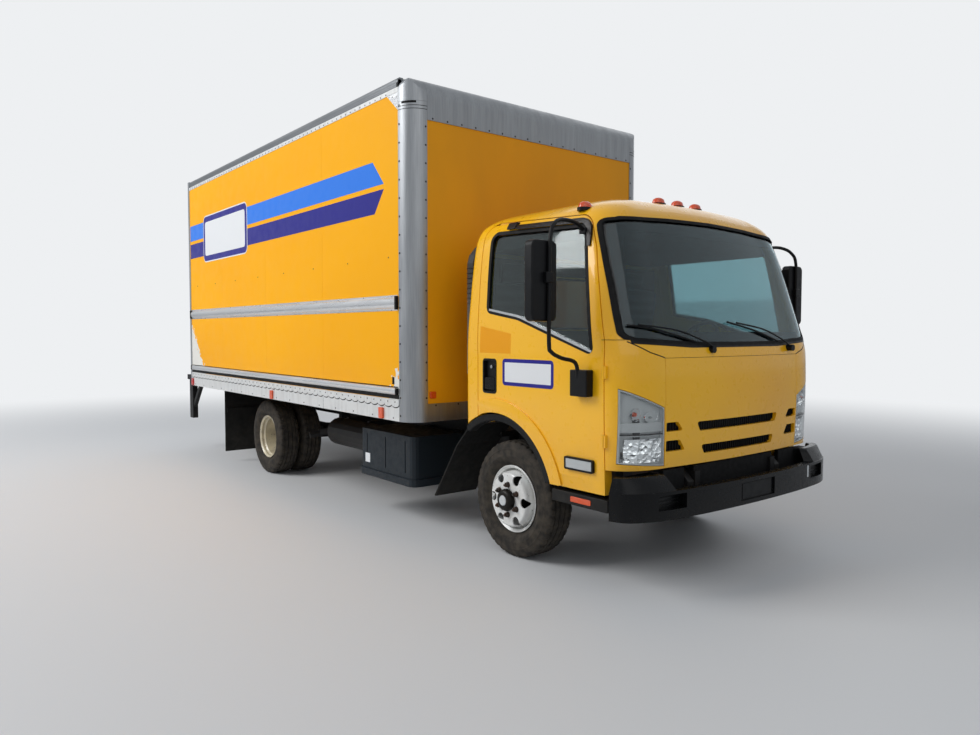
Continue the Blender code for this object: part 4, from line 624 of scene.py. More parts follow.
def prism(outline, span, axis):
    """A flat outline carried along an axis from span[0] to span[1]."""
    bm = bmesh.new()
    place = PLACES[axis]
    skin_rings(bm, [[bm.verts.new(place(a, b, t)) for a, b in outline] for t in span])
    return as_object(bm)


def side_span(side, low=0.80, high=1.2):
    """A Y range given for the left side."""
    return tuple(sorted((side * low, side * high)))


def across(outline, side, low=0.80, high=1.2):
    """A prism that runs out through one side of the truck."""
    return prism(outline, side_span(side, low, high), "Y")


def loft(rings):
    """A solid through rings with equally many points."""
    bm = bmesh.new()
    skin_rings(bm, [[bm.verts.new(point) for point in ring] for ring in rings])
    return as_object(bm)


def turned(profile, centre, axis="Y", ring=True, steps=48):
    """A profile of (radius, distance along the axis) turned round it, as a ring or as a capped solid."""
    bm = bmesh.new()
    place = PLACES[axis]
    rings = []
    for radius, along in profile:
        circle = []
        for step in range(steps):
            angle = 2 * math.pi * step / steps
            circle.append(bm.verts.new(place(radius * math.cos(angle), radius * math.sin(angle), along)))
        rings.append(circle)
    skin_rings(bm, rings, closed=ring)
    bmesh.ops.translate(bm, verts=bm.verts, vec=centre)
    return as_object(bm)


def rod(radius, centre, span, axis, steps=24):
    """A round bar about centre, from span[0] to span[1] along the axis."""
    return turned([(radius, span[0]), (radius, span[1])], centre, axis, ring=False, steps=steps)


def hermite(first, last, leaving, arriving, t):
    """A point between two, on a curve with the given slopes at its ends."""
    return (
        first * (2 * t**3 - 3 * t**2 + 1) + leaving * (t**3 - 2 * t**2 + t)
        + last * (3 * t**2 - 2 * t**3) + arriving * (t**3 - t**2)
    )


def flowing(points, steps=6):
    """A smooth run through the points."""
    points = [Vector(point) for point in points]
    ends = [points[0] * 2 - points[1]] + points + [points[-1] * 2 - points[-2]]
    run = []
    for before, here, after, beyond in zip(ends, ends[1:], ends[2:], ends[3:]):
        run += [hermite(here, after, (after - before) / 2, (beyond - here) / 2,
                        step / steps) for step in range(steps)]
    return run + [points[-1]]


def tube(points, radius):
    """A round bar along the points, with closed ends."""
    curve = bpy.data.curves.new("tube", "CURVE")
    curve.dimensions = "3D"
    curve.bevel_depth = radius
    curve.bevel_resolution = 3
    curve.use_fill_caps = True
    spline = curve.splines.new("POLY")
    spline.points.add(len(points) - 1)
    for target, point in zip(spline.points, points):
        target.co = (*point, 1.0)
    guide = bpy.data.objects.new("tube", curve)
    bpy.context.collection.objects.link(guide)
    bpy.context.view_layer.update()
    bm = bmesh.new()
    bm.from_mesh(guide.to_mesh())
    guide.to_mesh_clear()
    bpy.data.objects.remove(guide)
    bpy.data.curves.remove(curve)
    return as_object(bm)


def joined(*objects):
    """One object from several, kept as separate shells."""
    bm = bmesh.new()
    for item in objects:
        bm.from_mesh(item.data)
        bpy.data.objects.remove(item)
    return as_object(bm, weld=1e-7)


def combine(operation, target, others):
    """Applies a Boolean of each other object to the target, and deletes the others."""
    for other in others:
        step = target.modifiers.new(operation, "BOOLEAN")
        step.operation = operation
        step.solver = "EXACT"
        step.object = other
        result = bpy.data.meshes.new_from_object(target.evaluated_get(bpy.context.evaluated_depsgraph_get()))
        target.modifiers.clear()
        target.data = result
        bpy.data.objects.remove(other)
    return target


def fuse(target, *others):
    return combine("UNION", target, others)


def cut(target, *others):
    return combine("DIFFERENCE", target, others)


def common(target, *others):
    return combine("INTERSECT", target, others)


def copied(item):
    twin = item.copy()
    twin.data = item.data.copy()
    bpy.context.collection.objects.link(twin)
    return twin


def grow(outline, distance):
    """The outline with each edge moved outwards by the distance."""
    area = sum(a[0] * b[1] - b[0] * a[1] for a, b in zip(outline, outline[1:] + outline[:1]))
    turn = 1 if area > 0 else -1
    grown = []
    for i, point in enumerate(outline):
        before, after = Vector(outline[i - 1]), Vector(outline[(i + 1) % len(outline)])
        here = Vector(point)
        first, second = (here - before).normalized(), (after - here).normalized()
        normal_a = Vector((first.y, -first.x)) * turn
        normal_b = Vector((second.y, -second.x)) * turn
        mitre = (normal_a + normal_b).normalized()
        grown.append(tuple(here + mitre * (distance / max(0.3, mitre.dot(normal_a)))))
    return grown


def arc(centre, radius, start, end, steps):
    """Points on an arc, angles in degrees."""
    angles = [math.radians(start + (end - start) * i / steps) for i in range(steps + 1)]
    return [(centre[0] + radius * math.cos(a), centre[1] + radius * math.sin(a)) for a in angles]


def rounded(outline, radii, steps=6):
    """The outline with corner i rounded by radii[i]."""
    points = []
    for i, (corner, radius) in enumerate(zip(outline, radii)):
        here = Vector(corner)
        if radius == 0:
            points.append(tuple(corner))
            continue
        before = (Vector(outline[i - 1]) - here).normalized()
        after = (Vector(outline[(i + 1) % len(outline)]) - here).normalized()
        half = before.angle(after) / 2
        reach = radius / math.tan(half)
        centre = here + (before + after).normalized() * (radius / math.sin(half))
        first, last = here + before * reach - centre, here + after * reach - centre
        for step in range(steps + 1):
            between = first.slerp(last, step / steps)
            points.append(tuple(centre + between.normalized() * radius))
    return points


def rounded_box(a, b, radius, steps=6):
    """A rectangle between two values on each axis, its corners rounded."""
    corners = [(a[0], b[0]), (a[1], b[0]), (a[1], b[1]), (a[0], b[1])]
    return rounded(corners, [radius] * 4, steps)


def named(item, name, look, body, replaces):
    """Names a piece, gives it its finish and lets it ride on its body."""
    item.name = item.data.name = name
    item.data.materials.clear()
    item.data.materials.append(LOOKS[look])
    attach(item, body)
    if replaces:
        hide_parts(*replaces)


def finished(item, name, look, body, replaces=(), slot=None, bevel=0.0, angle=32.0, centre=None, segments=2):
    """Puts a piece in its place, shades its edges and names it."""
    if centre is None:
        item.data.transform(Matrix.Translation((AXLE_X, 0, 0)))
    else:
        item.location = (centre[0] + AXLE_X, centre[1], centre[2])
    item.data.shade_smooth()
    if bevel:
        edge = item.modifiers.new("edges", "BEVEL")
        edge.width = bevel
        edge.segments = segments
        edge.angle_limit = math.radians(angle)
        edge.harden_normals = True
    else:
        item.data.set_sharp_from_angle(angle=math.radians(angle))
    named(item, name, look, body, replaces)


def domes(points, radius, height, normal_axis, way):
    """Shallow rivet heads at the points, as one piece."""
    bm = bmesh.new()
    place = PLACES[normal_axis]
    for point in points:
        rings = []
        for share, rise in ((1.0, -0.3), (1.0, 0.25), (0.72, 0.75), (0.30, 1.0)):
            ring = []
            for step in range(8):
                angle = math.pi * step / 4
                a, b = radius * share * math.cos(angle), radius * share * math.sin(angle)
                ring.append(bm.verts.new(Vector(point) + Vector(place(a, b, way * rise * height))))
            rings.append(ring)
        skin_rings(bm, rings)
    return as_object(bm, weld=1e-7)


def steps_between(first, last, spacing):
    count = max(1, round(abs(last - first) / spacing))
    return [first + (last - first) * i / count for i in range(count + 1)]


# Van body


def nose_shell(inset):
    """The rounded front end of the box as a solid, smaller by the inset."""
    half = BOX_HALF_WIDTH - inset
    front = BOX_FRONT_X - inset
    radius = CORNER_RADIUS - inset
    plan = [(SIDE_FRONT_X - 0.3, -half)]
    plan += arc((front - radius, radius - half), radius, -90, 0, NOSE_STEPS)
    plan += arc((front - radius, half - radius), radius, 0, 90, NOSE_STEPS)
    plan += [(SIDE_FRONT_X - 0.3, half)]
    body = prism(plan, (BOX_BOTTOM - inset, BOX_TOP - inset), "Z")
    crown = [(SIDE_FRONT_X - 0.4, BOX_BOTTOM - 1), (front, BOX_BOTTOM - 1)]
    crown += arc((front - radius, BOX_TOP - inset - radius), radius, 0, 90, NOSE_STEPS)
    crown += [(SIDE_FRONT_X - 0.4, BOX_TOP - inset)]
    low, top = BOX_BOTTOM - 1, BOX_TOP - inset
    shoulder = CASTING_SHOULDER - inset
    gable = rounded([(-half, low), (half, low), (half, top), (-half, top)], [0, 0, shoulder, shoulder],
                    steps=12)
    return common(common(body, prism(crown, (-2, 2), "Y")), prism(gable, (-2, 1), "X"))


NOSE_STEPS = 24
NOSE_SEAM = 0.0012
CASTING_Z = 3.075
CASTING_SHOULDER = 0.100
POST_LIP_Y = BOX_HALF_WIDTH - CORNER_RADIUS - 0.004


def nose_pieces():
    """Corner posts, cap with its corner castings, and sill, each with a seam to the next."""
    shell = cut(nose_shell(0.0), nose_shell(BOX_WALL))
    window = block(
        (SIDE_FRONT_X - 0.1, BOX_FRONT_X + 0.1),
        (-POST_LIP_Y, POST_LIP_Y),
        (BOX_BOTTOM + NOSE_SILL_DEPTH, BOX_TOP - NOSE_CAP_DEPTH),
    )
    cut(shell, block((-2, SIDE_FRONT_X), (-2, 2), (0, 4)), window)
    zones = (
        ("nose_cap", (-POST_LIP_Y + NOSE_SEAM, POST_LIP_Y - NOSE_SEAM), (BOX_TOP - NOSE_CAP_DEPTH - 0.01, 4)),
        ("nose_sill", (-POST_LIP_Y + NOSE_SEAM, POST_LIP_Y - NOSE_SEAM),
         (0, BOX_BOTTOM + NOSE_SILL_DEPTH + 0.01)),
        ("nose_post_left", (POST_LIP_Y, 2), (0, CASTING_Z - NOSE_SEAM)),
        ("nose_post_right", (-2, -POST_LIP_Y), (0, CASTING_Z - NOSE_SEAM)),
        ("nose_casting_left", (POST_LIP_Y, 2), (CASTING_Z, 4)),
        ("nose_casting_right", (-2, -POST_LIP_Y), (CASTING_Z, 4)),
    )
    for name, y, z in zones:
        piece = common(copied(shell), block((-2, 0), y, z))
        swaps = ("box_nose_frame",) if name == "nose_cap" else ()
        finished(piece, name, "nose_aluminium", "chassis", swaps)
    bpy.data.objects.remove(shell)
    band = cut(nose_shell(-0.0006), nose_shell(0.003))
    for name, side in SIDES:
        span = side_span(side, POST_LIP_Y, 1.3)
        lines = [common(copied(band), block((SIDE_FRONT_X, 0), span, (z, z + 0.004))) for z in (3.018, 3.040)]
        lines.append(common(copied(band), block((SIDE_FRONT_X + 0.04, -0.78), span, (3.058, 3.073))))
        finished(joined(*lines), f"casting_seams_{name}", "rubber_seal", "chassis", slot="aluminium")
    bpy.data.objects.remove(band)


def side_wall(name, side):
    """Side sheets in four widths, with rails, apron and rivets."""
    rear = BOX_REAR_X + REAR_FRAME_DEPTH + 0.0005
    front = SIDE_FRONT_X - 0.0005
    ends = [rear, *SHEET_JOINTS, front]
    sheets = [
        mirrored((a + SHEET_GAP / 2, b - SHEET_GAP / 2), (SHEET_INNER, SHEET_FACE),
                 (APRON_STEP, BOX_TOP - 0.035), side)
        for a, b in zip(ends, ends[1:])
    ]
    core = mirrored((rear, front), (SHEET_INNER, SHEET_FACE - 0.003), (BOX_BOTTOM, BOX_TOP - 0.035), side)
    finished(joined(*sheets), f"side_sheets_{name}", "side_sheet", "chassis", (f"box_wall_{name}",))
    finished(core, f"side_core_{name}", "rubber_seal", "chassis", slot="yellow_paint")

    def rail(section, label, look, x=(rear, front), bevel=0.0008):
        outline = [(side * (SHEET_FACE + out), z) for out, z in section]
        piece = prism(outline, x, "X")
        return finished(piece, f"{label}_{name}", look, "chassis", bevel=bevel, angle=50)

    lip = TOP_RAIL_LOW + 0.034
    rail([(-0.02, TOP_RAIL_LOW), (0.0038, TOP_RAIL_LOW), (0.0038, lip), (-0.02, lip)], "top_flange", "apron")
    top = [(-0.02, lip + 0.001), (0.0012, lip + 0.001)]
    for number in range(2):
        low = lip + 0.005 + 0.012 * number
        top += [(0.0012, low), (0.0026, low + 0.003), (0.0026, low + 0.006), (0.0012, low + 0.009)]
    top += [(0.0040, BOX_TOP - 0.036), (0.0040, BOX_TOP - 0.018), (-0.012, BOX_TOP - 0.0006)]
    top += [(-0.041, BOX_TOP - 0.0006), (-0.041, lip + 0.001)]
    rail(top, "top_rail", "rail_grey")
    gusset = [(front, 3.02), (front, TOP_RAIL_LOW), (front - 0.15, TOP_RAIL_LOW)]
    plate = across(gusset, side, SHEET_FACE - 0.001, SHEET_FACE + 0.0016)
    finished(plate, f"gusset_{name}", "rail_aluminium", "chassis", bevel=0.0005)
    end_cap = mirrored((front - 0.020, front), (SHEET_FACE - 0.03, SHEET_FACE + 0.0038),
                       (lip + 0.002, BOX_TOP - 0.012), side)
    finished(end_cap, f"top_rail_end_{name}", "rubber_seal", "chassis", slot="aluminium", bevel=0.003)

    middle, half = sum(MID_RAIL) / 2, (MID_RAIL[1] - MID_RAIL[0]) / 2
    mid = [(-0.001, MID_RAIL[0] - 0.006), (0.002, MID_RAIL[0] - 0.006), (0.002, MID_RAIL[0] + 0.008)]
    mid += [(RAIL_PROUD * math.cos(a), middle + (half - 0.010) * math.sin(a)) for a in swept(-80, 80, 12)]
    mid += [(0.002, MID_RAIL[1] - 0.008), (0.002, MID_RAIL[1] + 0.006), (-0.001, MID_RAIL[1] + 0.006)]
    rail(mid, "rub_rail_middle", "rail_aluminium", (rear + 0.01, front - 0.02))

    middle, half = LOW_RAIL[1] - 0.027, 0.027
    low = [(RAIL_PROUD * math.cos(a), middle + half * math.sin(a)) for a in swept(-90, 90, 14)]
    low += [(0.0, LOW_RAIL[1] + 0.008), (-0.001, LOW_RAIL[1] + 0.008), (-0.001, middle - half)]
    rail(low, "rub_rail_low", "rail_aluminium", (rear + 0.01, front - 0.02))
    # Painted shadow: a black strip along the foot of the low rub rail stands in for the rail's shadow.
    rail_shadow = mirrored((rear, front), (SHEET_FACE - 0.002, SHEET_FACE + 0.003),
                       (APRON_TOP + 0.003, middle - half + 0.001), side)
    finished(rail_shadow, f"low_rail_shadow_{name}", "rubber_seal", "chassis", slot="aluminium")

    apron = [(-0.020, BOX_BOTTOM), (0.0040, BOX_BOTTOM), (0.0040, APRON_TOP - 0.004), (-0.001, APRON_TOP)]
    apron += [(-0.001, BOX_BOTTOM + 0.01), (-0.020, BOX_BOTTOM + 0.01)]
    rail(apron, "apron", "apron")
    pitch = (front - rear) / round((front - rear) / 0.101)
    places = [rear + pitch * (number + 0.5) for number in range(round((front - rear) / pitch))]
    waves = []
    for number in range(8 * len(places) + 1):
        waves.append((rear + pitch * number / 8,
                      APRON_STEP + 0.018 - 0.016 * abs(math.sin(math.pi * number / 8)) ** 0.6))
    flange = [(front, APRON_TOP - 0.004), (rear, APRON_TOP - 0.004)] + waves
    scallops = across(flange, side, SHEET_FACE + 0.003, SHEET_FACE + 0.0085)
    finished(scallops, f"apron_flange_{name}", "apron", "chassis", bevel=0.0006, angle=50)
    # Painted shadow: a dark wavy strip under the scalloped flange's edge stands in for the shadow it casts.
    shadow = waves + [(x, z - 0.007) for x, z in reversed(waves)]
    gap = across(shadow, side, SHEET_FACE + 0.003, SHEET_FACE + 0.0048)
    finished(gap, f"apron_flange_gap_{name}", "rubber_seal", "chassis", slot="aluminium", angle=50)
    joint = mirrored((SHEET_JOINTS[2] - 0.001, SHEET_JOINTS[2] + 0.001), (1.20, SHEET_FACE + 0.0046),
                     (0.818, 0.914), side)
    finished(joint, f"apron_joint_{name}", "rubber_seal", "chassis", slot="aluminium")

    for x in (rear + 0.012, front - 0.022):
        caps = []
        for z, tall in ((sum(MID_RAIL) / 2, 0.098), (middle, 0.050)):
            caps.append(mirrored((x - 0.012, x + 0.012), (SHEET_FACE, SHEET_FACE + 0.0225),
                                 (z - tall / 2, z + tall / 2), side))
        label = "rear" if x < -3 else "front"
        finished(joined(*caps), f"rail_end_{label}_{name}", "rubber_seal", "chassis", slot="aluminium",
                 bevel=0.004)

    face = side * (SHEET_FACE + 0.0035)
    bright = [(x, side * (SHEET_FACE + 0.002), z) for x in steps_between(rear + 0.1, front - 0.1, 0.41)
               for z in (MID_RAIL[0] - 0.001, MID_RAIL[1] + 0.001)]
    bright += [(front - x, side * (SHEET_FACE + 0.0016), z) for x,
               z in ((0.02, 3.05), (0.02, 3.12), (0.075, 3.13), (0.12, 3.14))]
    # Painted shade: these rivet rows are drawn dark for the shade round their heads.
    dark = [(x, side * (SHEET_FACE + 0.008), APRON_TOP - 0.020) for x in places]
    dark += [(x, face, TOP_RAIL_LOW + 0.012) for x in steps_between(rear + 0.06, front - 0.16, 0.076)]
    dark += [(x, side * (SHEET_FACE + 0.004), 0.838) for x in steps_between(rear + 0.12, front - 0.08, 0.31)]
    dark += [(x, side * SHEET_FACE, 2.0) for x in steps_between(-5.4, -1.05, 0.62)]
    chip = mirrored((-1.000, -0.978), (SHEET_FACE, SHEET_FACE + 0.006), (1.085, 1.135), side)
    finished(chip, f"sheet_clip_{name}", "rubber_seal", "chassis", slot="aluminium", bevel=0.002)
    finished(domes(bright, 0.0070, 0.003, "Y", side), f"rail_rivets_{name}", "rivet", "chassis")
    finished(domes(dark, 0.0060, 0.003, "Y", side), f"apron_rivets_{name}", "shaded_rivet", "chassis")


def swept(start, end, steps):
    """Angles in radians from start to end degrees."""
    return [math.radians(start + (end - start) * i / steps) for i in range(steps + 1)]


def livery(name, side):
    """Two pointed bands and a blank rounded sign, as film on the side sheets."""
    def film(outline, label, look, layer):
        piece = across(outline, side, SHEET_FACE - 0.0002, SHEET_FACE + FILM * layer)
        finished(piece, f"{label}_{name}", look, "chassis")

    light = [(LIVERY_REAR_X, LIGHT_BAND_Z[0]), (LIGHT_BAND_TIP_X[0], LIGHT_BAND_Z[0])]
    light += [(LIGHT_BAND_TIP_X[1], LIGHT_BAND_Z[1]), (LIVERY_REAR_X, LIGHT_BAND_Z[1])]
    film(light, "band_light", "light_blue", 1)
    dark = [(LIVERY_REAR_X, DARK_BAND_Z[0]), (DARK_BAND_TIP_X[0], DARK_BAND_Z[0])]
    dark += [(DARK_BAND_TIP_X[1], DARK_BAND_Z[1]), (LIVERY_REAR_X, DARK_BAND_Z[1])]
    film(dark, "band_dark", "dark_blue", 1)
    film(grow(rounded_box(SIGN_X, SIGN_Z, 0.07), 0.012), "sign_edge", "sign_white", 2)
    film(rounded_box(SIGN_X, SIGN_Z, 0.065), "sign_border", "dark_blue", 3)
    inner_x = (SIGN_X[0] + SIGN_BORDER[0], SIGN_X[1] - SIGN_BORDER[0])
    inner_z = (SIGN_Z[0] + SIGN_BORDER[1], SIGN_Z[1] - SIGN_BORDER[1])
    film(rounded_box(inner_x, inner_z, 0.035), "sign_face", "sign_white", 4)


def marker(name, outline, span_axis, base, way, look):
    """A small lamp lens standing proud of the face it is on."""
    span = sorted((base - way * 0.001, base + way * MARKER_DEPTH))
    finished(prism(outline, span, span_axis), name, look, "chassis", bevel=0.003, segments=3)


def van_markers():
    for name, side in SIDES:
        for x, look, label in ((-1.15, "amber", "front"), (-3.21, "amber", "middle"),
                               (-5.615, "red", "rear")):
            outline = rounded_box((x - 0.029, x + 0.029), (0.821, 0.904), 0.01)
            marker(f"side_marker_{label}_{name}", outline, "Y", side * (SHEET_FACE + 0.004), side, look)
        outline = rounded_box(side_span(side, 1.002, 1.052), (0.985, 1.035), 0.01)
        marker(f"front_marker_low_{name}", outline, "X", BOX_FRONT_X - 0.006, 1, "amber")
        outline = rounded_box(side_span(side, 1.13, 1.19), (3.13, 3.17), 0.012)
        marker(f"rear_marker_{name}", outline, "X", BOX_REAR_X, -1, "red")
    for y, label in ((-0.16, "right"), (0.0, "middle"), (0.16, "left")):
        outline = rounded_box((y - 0.035, y + 0.035), (3.13, 3.16), 0.012)
        marker(f"header_marker_{label}", outline, "X", BOX_REAR_X, -1, "red")


def nose_rivets():
    """Rivet rows down the posts and round the front sheet."""
    front = BOX_FRONT_X - 0.001
    points = []
    for side in (1, -1):
        points += [(front, side * (POST_LIP_Y + 0.012), z) for z in steps_between(0.99, 2.90, 0.127)]
    points += [(front, y, BOX_TOP - NOSE_CAP_DEPTH + 0.014) for y in steps_between(-1.02, 1.02, 0.127)]
    points += [(front, y, BOX_BOTTOM + NOSE_SILL_DEPTH - 0.014) for y in steps_between(-1.0, 1.0, 0.2)]
    # Painted shade: the nose and post rivets are drawn dark for the shade round their heads.
    finished(domes(points, 0.0078, 0.0035, "X", 1), "nose_rivets", "shaded_rivet", "chassis")
    for name, side in SIDES:
        y = side * (BOX_HALF_WIDTH - 0.0005)
        points = [(SIDE_FRONT_X + 0.014, y, z) for z in steps_between(0.86, 3.05, 0.127)]
        finished(domes(points, 0.0078, 0.0035, "Y", side), f"post_rivets_{name}", "shaded_rivet", "chassis")


def rear_fittings():
    """Latch and pull handle on the roll-up door, rollers' hinges, and lamps in the frame's foot."""
    door_face = BOX_REAR_X + REAR_FRAME_DEPTH + 0.0003
    plate = block((door_face - 0.006, door_face), (-0.11, 0.11), (1.09, 1.21))
    finished(plate, "latch_plate", "rivet", "chassis", bevel=0.003)
    lever = fuse(
        block((door_face - 0.030, door_face - 0.004), (-0.02, 0.02), (1.13, 1.17)),
        block((door_face - 0.030, door_face - 0.018), (-0.09, 0.03), (1.138, 1.162)),
    )
    finished(lever, "latch_lever", "casting", "chassis", bevel=0.003)
    strap = tube(flowing([(door_face - 0.002, 0.3, 1.06), (door_face - 0.03, 0.36, 1.052),
                          (door_face - 0.002, 0.42, 1.06)]), 0.008)
    finished(strap, "pull_handle", "casting", "chassis")
    lamps = []
    for side in (1, -1):
        for y in (1.115, 1.03):
            lamps.append(rod(0.036, (0, side * y, 0.91), (BOX_REAR_X - 0.016, BOX_REAR_X), "X"))
    finished(joined(*lamps), "tail_lamps", "red", "chassis", bevel=0.005, segments=3)
    steps = []
    for number in range(1, 8):
        z = 1.0 + (3.06 - 1.0) * number / 8
        for y in (-0.9, -0.3, 0.3, 0.9):
            steps.append(block((door_face - 0.003, door_face + 0.001), (y - 0.025, y + 0.025),
                               (z - 0.035, z + 0.035)))
    finished(joined(*steps), "slat_hinges", "rivet", "chassis", bevel=0.001)


# Wheels

TREAD_STEPS = 168


def tyre_section():
    """Half of the tyre's section from the bead out: radius and distance from the middle plane."""
    return [
        (0.2075, 0.0645), (0.2130, 0.0715), (0.2230, 0.0745), (0.2330, 0.0800), (0.2480, 0.0960),
        (0.2650, 0.1050), (0.2800, 0.1085), (0.2830, 0.1090), (0.2860, 0.1078), (0.3020, 0.1065),
        (0.3200, 0.1035), (0.3230, 0.1050), (0.3260, 0.1030), (0.3420, 0.0990), (0.3560, 0.0950),
        (0.3680, 0.0890), (0.3740, 0.0820),
    ]


RIB_EDGES = ((0.0620, 0.0540), (0.0250, 0.0170))
GROOVE_DEPTH = 0.011


def tyre_mesh():
    """Tyre with four grooves, five ribs and notched shoulders, round the origin."""
    side = tyre_section()
    crown = [(0.3768, 0.0660)]
    tread = WHEEL_RADIUS
    for outer, inner in RIB_EDGES:
        crown += [(tread - 0.0006, outer + 0.0005), (tread - GROOVE_DEPTH, outer - 0.0015)]
        crown += [(tread - GROOVE_DEPTH, inner + 0.0015), (tread - 0.0002, inner)]
    half = side + crown
    profile = half + [(radius, -along) for radius, along in reversed(half)]
    shoulder = [i for i, (radius, along) in enumerate(profile) if radius > 0.366 and abs(along) > 0.060]
    rib = [i for i, (radius, along) in enumerate(profile) if radius > 0.3770 and abs(along) < 0.060]
    bm = bmesh.new()
    rings = [[] for _ in profile]
    for step in range(TREAD_STEPS):
        angle = 2 * math.pi * step / TREAD_STEPS
        notch = 0.008 if step % 4 == 0 else 0.0
        sipe = 0.003 if step % 4 == 2 else 0.0
        for i, (radius, along) in enumerate(profile):
            lowered = radius - (notch if i in shoulder else 0.0) - (sipe if i in rib else 0.0)
            rings[i].append(bm.verts.new((lowered * math.cos(angle), along, lowered * math.sin(angle))))
    skin_rings(bm, rings, closed=True)
    tyre = as_object(bm)
    mesh = tyre.data
    bpy.data.objects.remove(tyre)
    return mesh


def rim_section():
    """Rim barrel from its outer lip, round the outside and back along the inside."""
    seat, flange, half = RIM_SEAT_RADIUS, RIM_FLANGE_RADIUS, RIM_HALF_WIDTH
    return [
        (flange - 0.003, half), (flange, half - 0.002), (flange, half - 0.006), (seat + 0.004, half - 0.012),
        (seat, half - 0.018), (seat, 0.045), (seat - 0.016, 0.030), (seat - 0.016, -0.030), (seat, -0.045),
        (seat, -half + 0.018), (seat + 0.004, -half + 0.012), (flange, -half + 0.006),
        (flange, -half + 0.002), (flange - 0.003, -half), (flange - 0.006, -half + 0.003),
        (seat - 0.006, -half + 0.012), (seat - 0.007, -0.048), (seat - 0.022, -0.036),
        (seat - 0.022, 0.010),
    ]


def disc_section(bore):
    """The dished disc from the barrel's inside to the bore and back, its face towards positive values."""
    face = DISC_OFFSET
    inside = RIM_SEAT_RADIUS - 0.022
    return [
        (inside, 0.012), (0.177, 0.060), (0.174, 0.090), (0.168, face - 0.014), (0.163, face - 0.008),
        (bore, face - 0.008), (bore, face), (0.160, face), (0.167, face - 0.001), (0.173, face - 0.006),
        (0.178, face - 0.018), (0.182, face - 0.045), (0.184, 0.045), (RIM_SEAT_RADIUS - 0.021, 0.026),
        (RIM_SEAT_RADIUS - 0.007, 0.046), (RIM_SEAT_RADIUS - 0.006, RIM_HALF_WIDTH - 0.012),
        (RIM_FLANGE_RADIUS - 0.006, RIM_HALF_WIDTH - 0.003),
    ]


def wheel_solid(way, bore, holes):
    """Steel disc wheel round the origin; way turns its disc's face towards +Y or -Y."""
    profile = [(radius, way * along) for radius, along in rim_section() + disc_section(bore)]
    wheel = turned(profile, (0, 0, 0), steps=96)
    if holes:
        for number in range(HAND_HOLE_COUNT):
            angle = 2 * math.pi * number / HAND_HOLE_COUNT
            centre = (HAND_HOLE_RING * math.cos(angle), 0, HAND_HOLE_RING * math.sin(angle))
            cut(wheel, rod(HAND_HOLE_RADIUS, centre, sorted((way * 0.05, way * 0.16)), "Y", steps=24))
    return wheel


def spun(profile, way):
    """A ring turned round the wheel's axle, its profile given for the left side."""
    return turned([(radius, way * along) for radius, along in profile], (0, 0, 0))


def lug_nuts(way, base, shaft):
    """Hexagon nuts on washers, with their studs' ends."""
    nuts = []
    for number in range(STUD_COUNT):
        angle = 2 * math.pi * (number + 0.5) / STUD_COUNT
        centre = (STUD_CIRCLE * math.cos(angle), 0, STUD_CIRCLE * math.sin(angle))
        for radius, height, steps in ((0.0195, 0.004, 20), (0.0165, 0.022, 6), (0.0085, 0.022 + shaft, 12)):
            nuts.append(rod(radius, centre, sorted((way * base, way * (base + height))), "Y", steps=steps))
    return joined(*nuts)


def add_wheels():
    mesh = tyre_mesh()
    for name, side in SIDES:
        def part(item, label, look, **settings):
            finished(item, f"{label}_{name}", look, body, centre=centre, **settings)

        def tyre(where):
            item = bpy.data.objects.new(where, mesh.copy())
            bpy.context.collection.objects.link(item)
            finished(item, f"rubber_{where}", "tyre", body, (f"tyre_{where}",), angle=24, centre=centre)

        body, centre = f"front_wheel_{name}", (0, side * FRONT_WHEEL_Y, WHEEL_RADIUS)
        tyre(f"front_{name}")
        disc = wheel_solid(side, FRONT_BORE, True)
        part(disc, "disc_front", "wheel_front", replaces=(f"wheel_front_{name}",), angle=38)
        part(lug_nuts(side, DISC_OFFSET, 0.012), "lug_nuts_front", "casting", bevel=0.001)
        part(spun(FRONT_HUB, side), "hub_front", "hub")
        part(spun(HUB_CAP, side), "hub_cap_front", "lamp_shell", slot="cast_iron")

        body = f"rear_wheels_{name}"
        for place, direction in (("outer", 1), ("inner", -1)):
            centre = (REAR_AXLE_X, side * (TWIN_MIDDLE_Y + direction * DISC_OFFSET), WHEEL_RADIUS)
            tyre(f"rear_{name}_{place}")
            swaps = (f"wheels_rear_{name}",) if direction == 1 else ()
            wheel = wheel_solid(-side * direction, REAR_BORE, direction == 1)
            finished(wheel, f"disc_rear_{name}_{place}", "wheel_rear", body, swaps, angle=38, centre=centre)
        centre = (REAR_AXLE_X, side * TWIN_MIDDLE_Y, WHEEL_RADIUS)
        part(lug_nuts(side, 0.0085, 0.020), "lug_nuts_rear", "casting", bevel=0.001)
        part(spun(REAR_DRUM, side), "drum_rear", "hub")
        part(spun(AXLE_FLANGE, side), "axle_flange", "hub")


# Cab

CAB_SKIN_REAR = CAB_REAR_X - 0.025
FLUSH_REACH = 0.062  # how far under the skin a face may lie to take its normals
FLUSH_AGREEMENT = 0.90
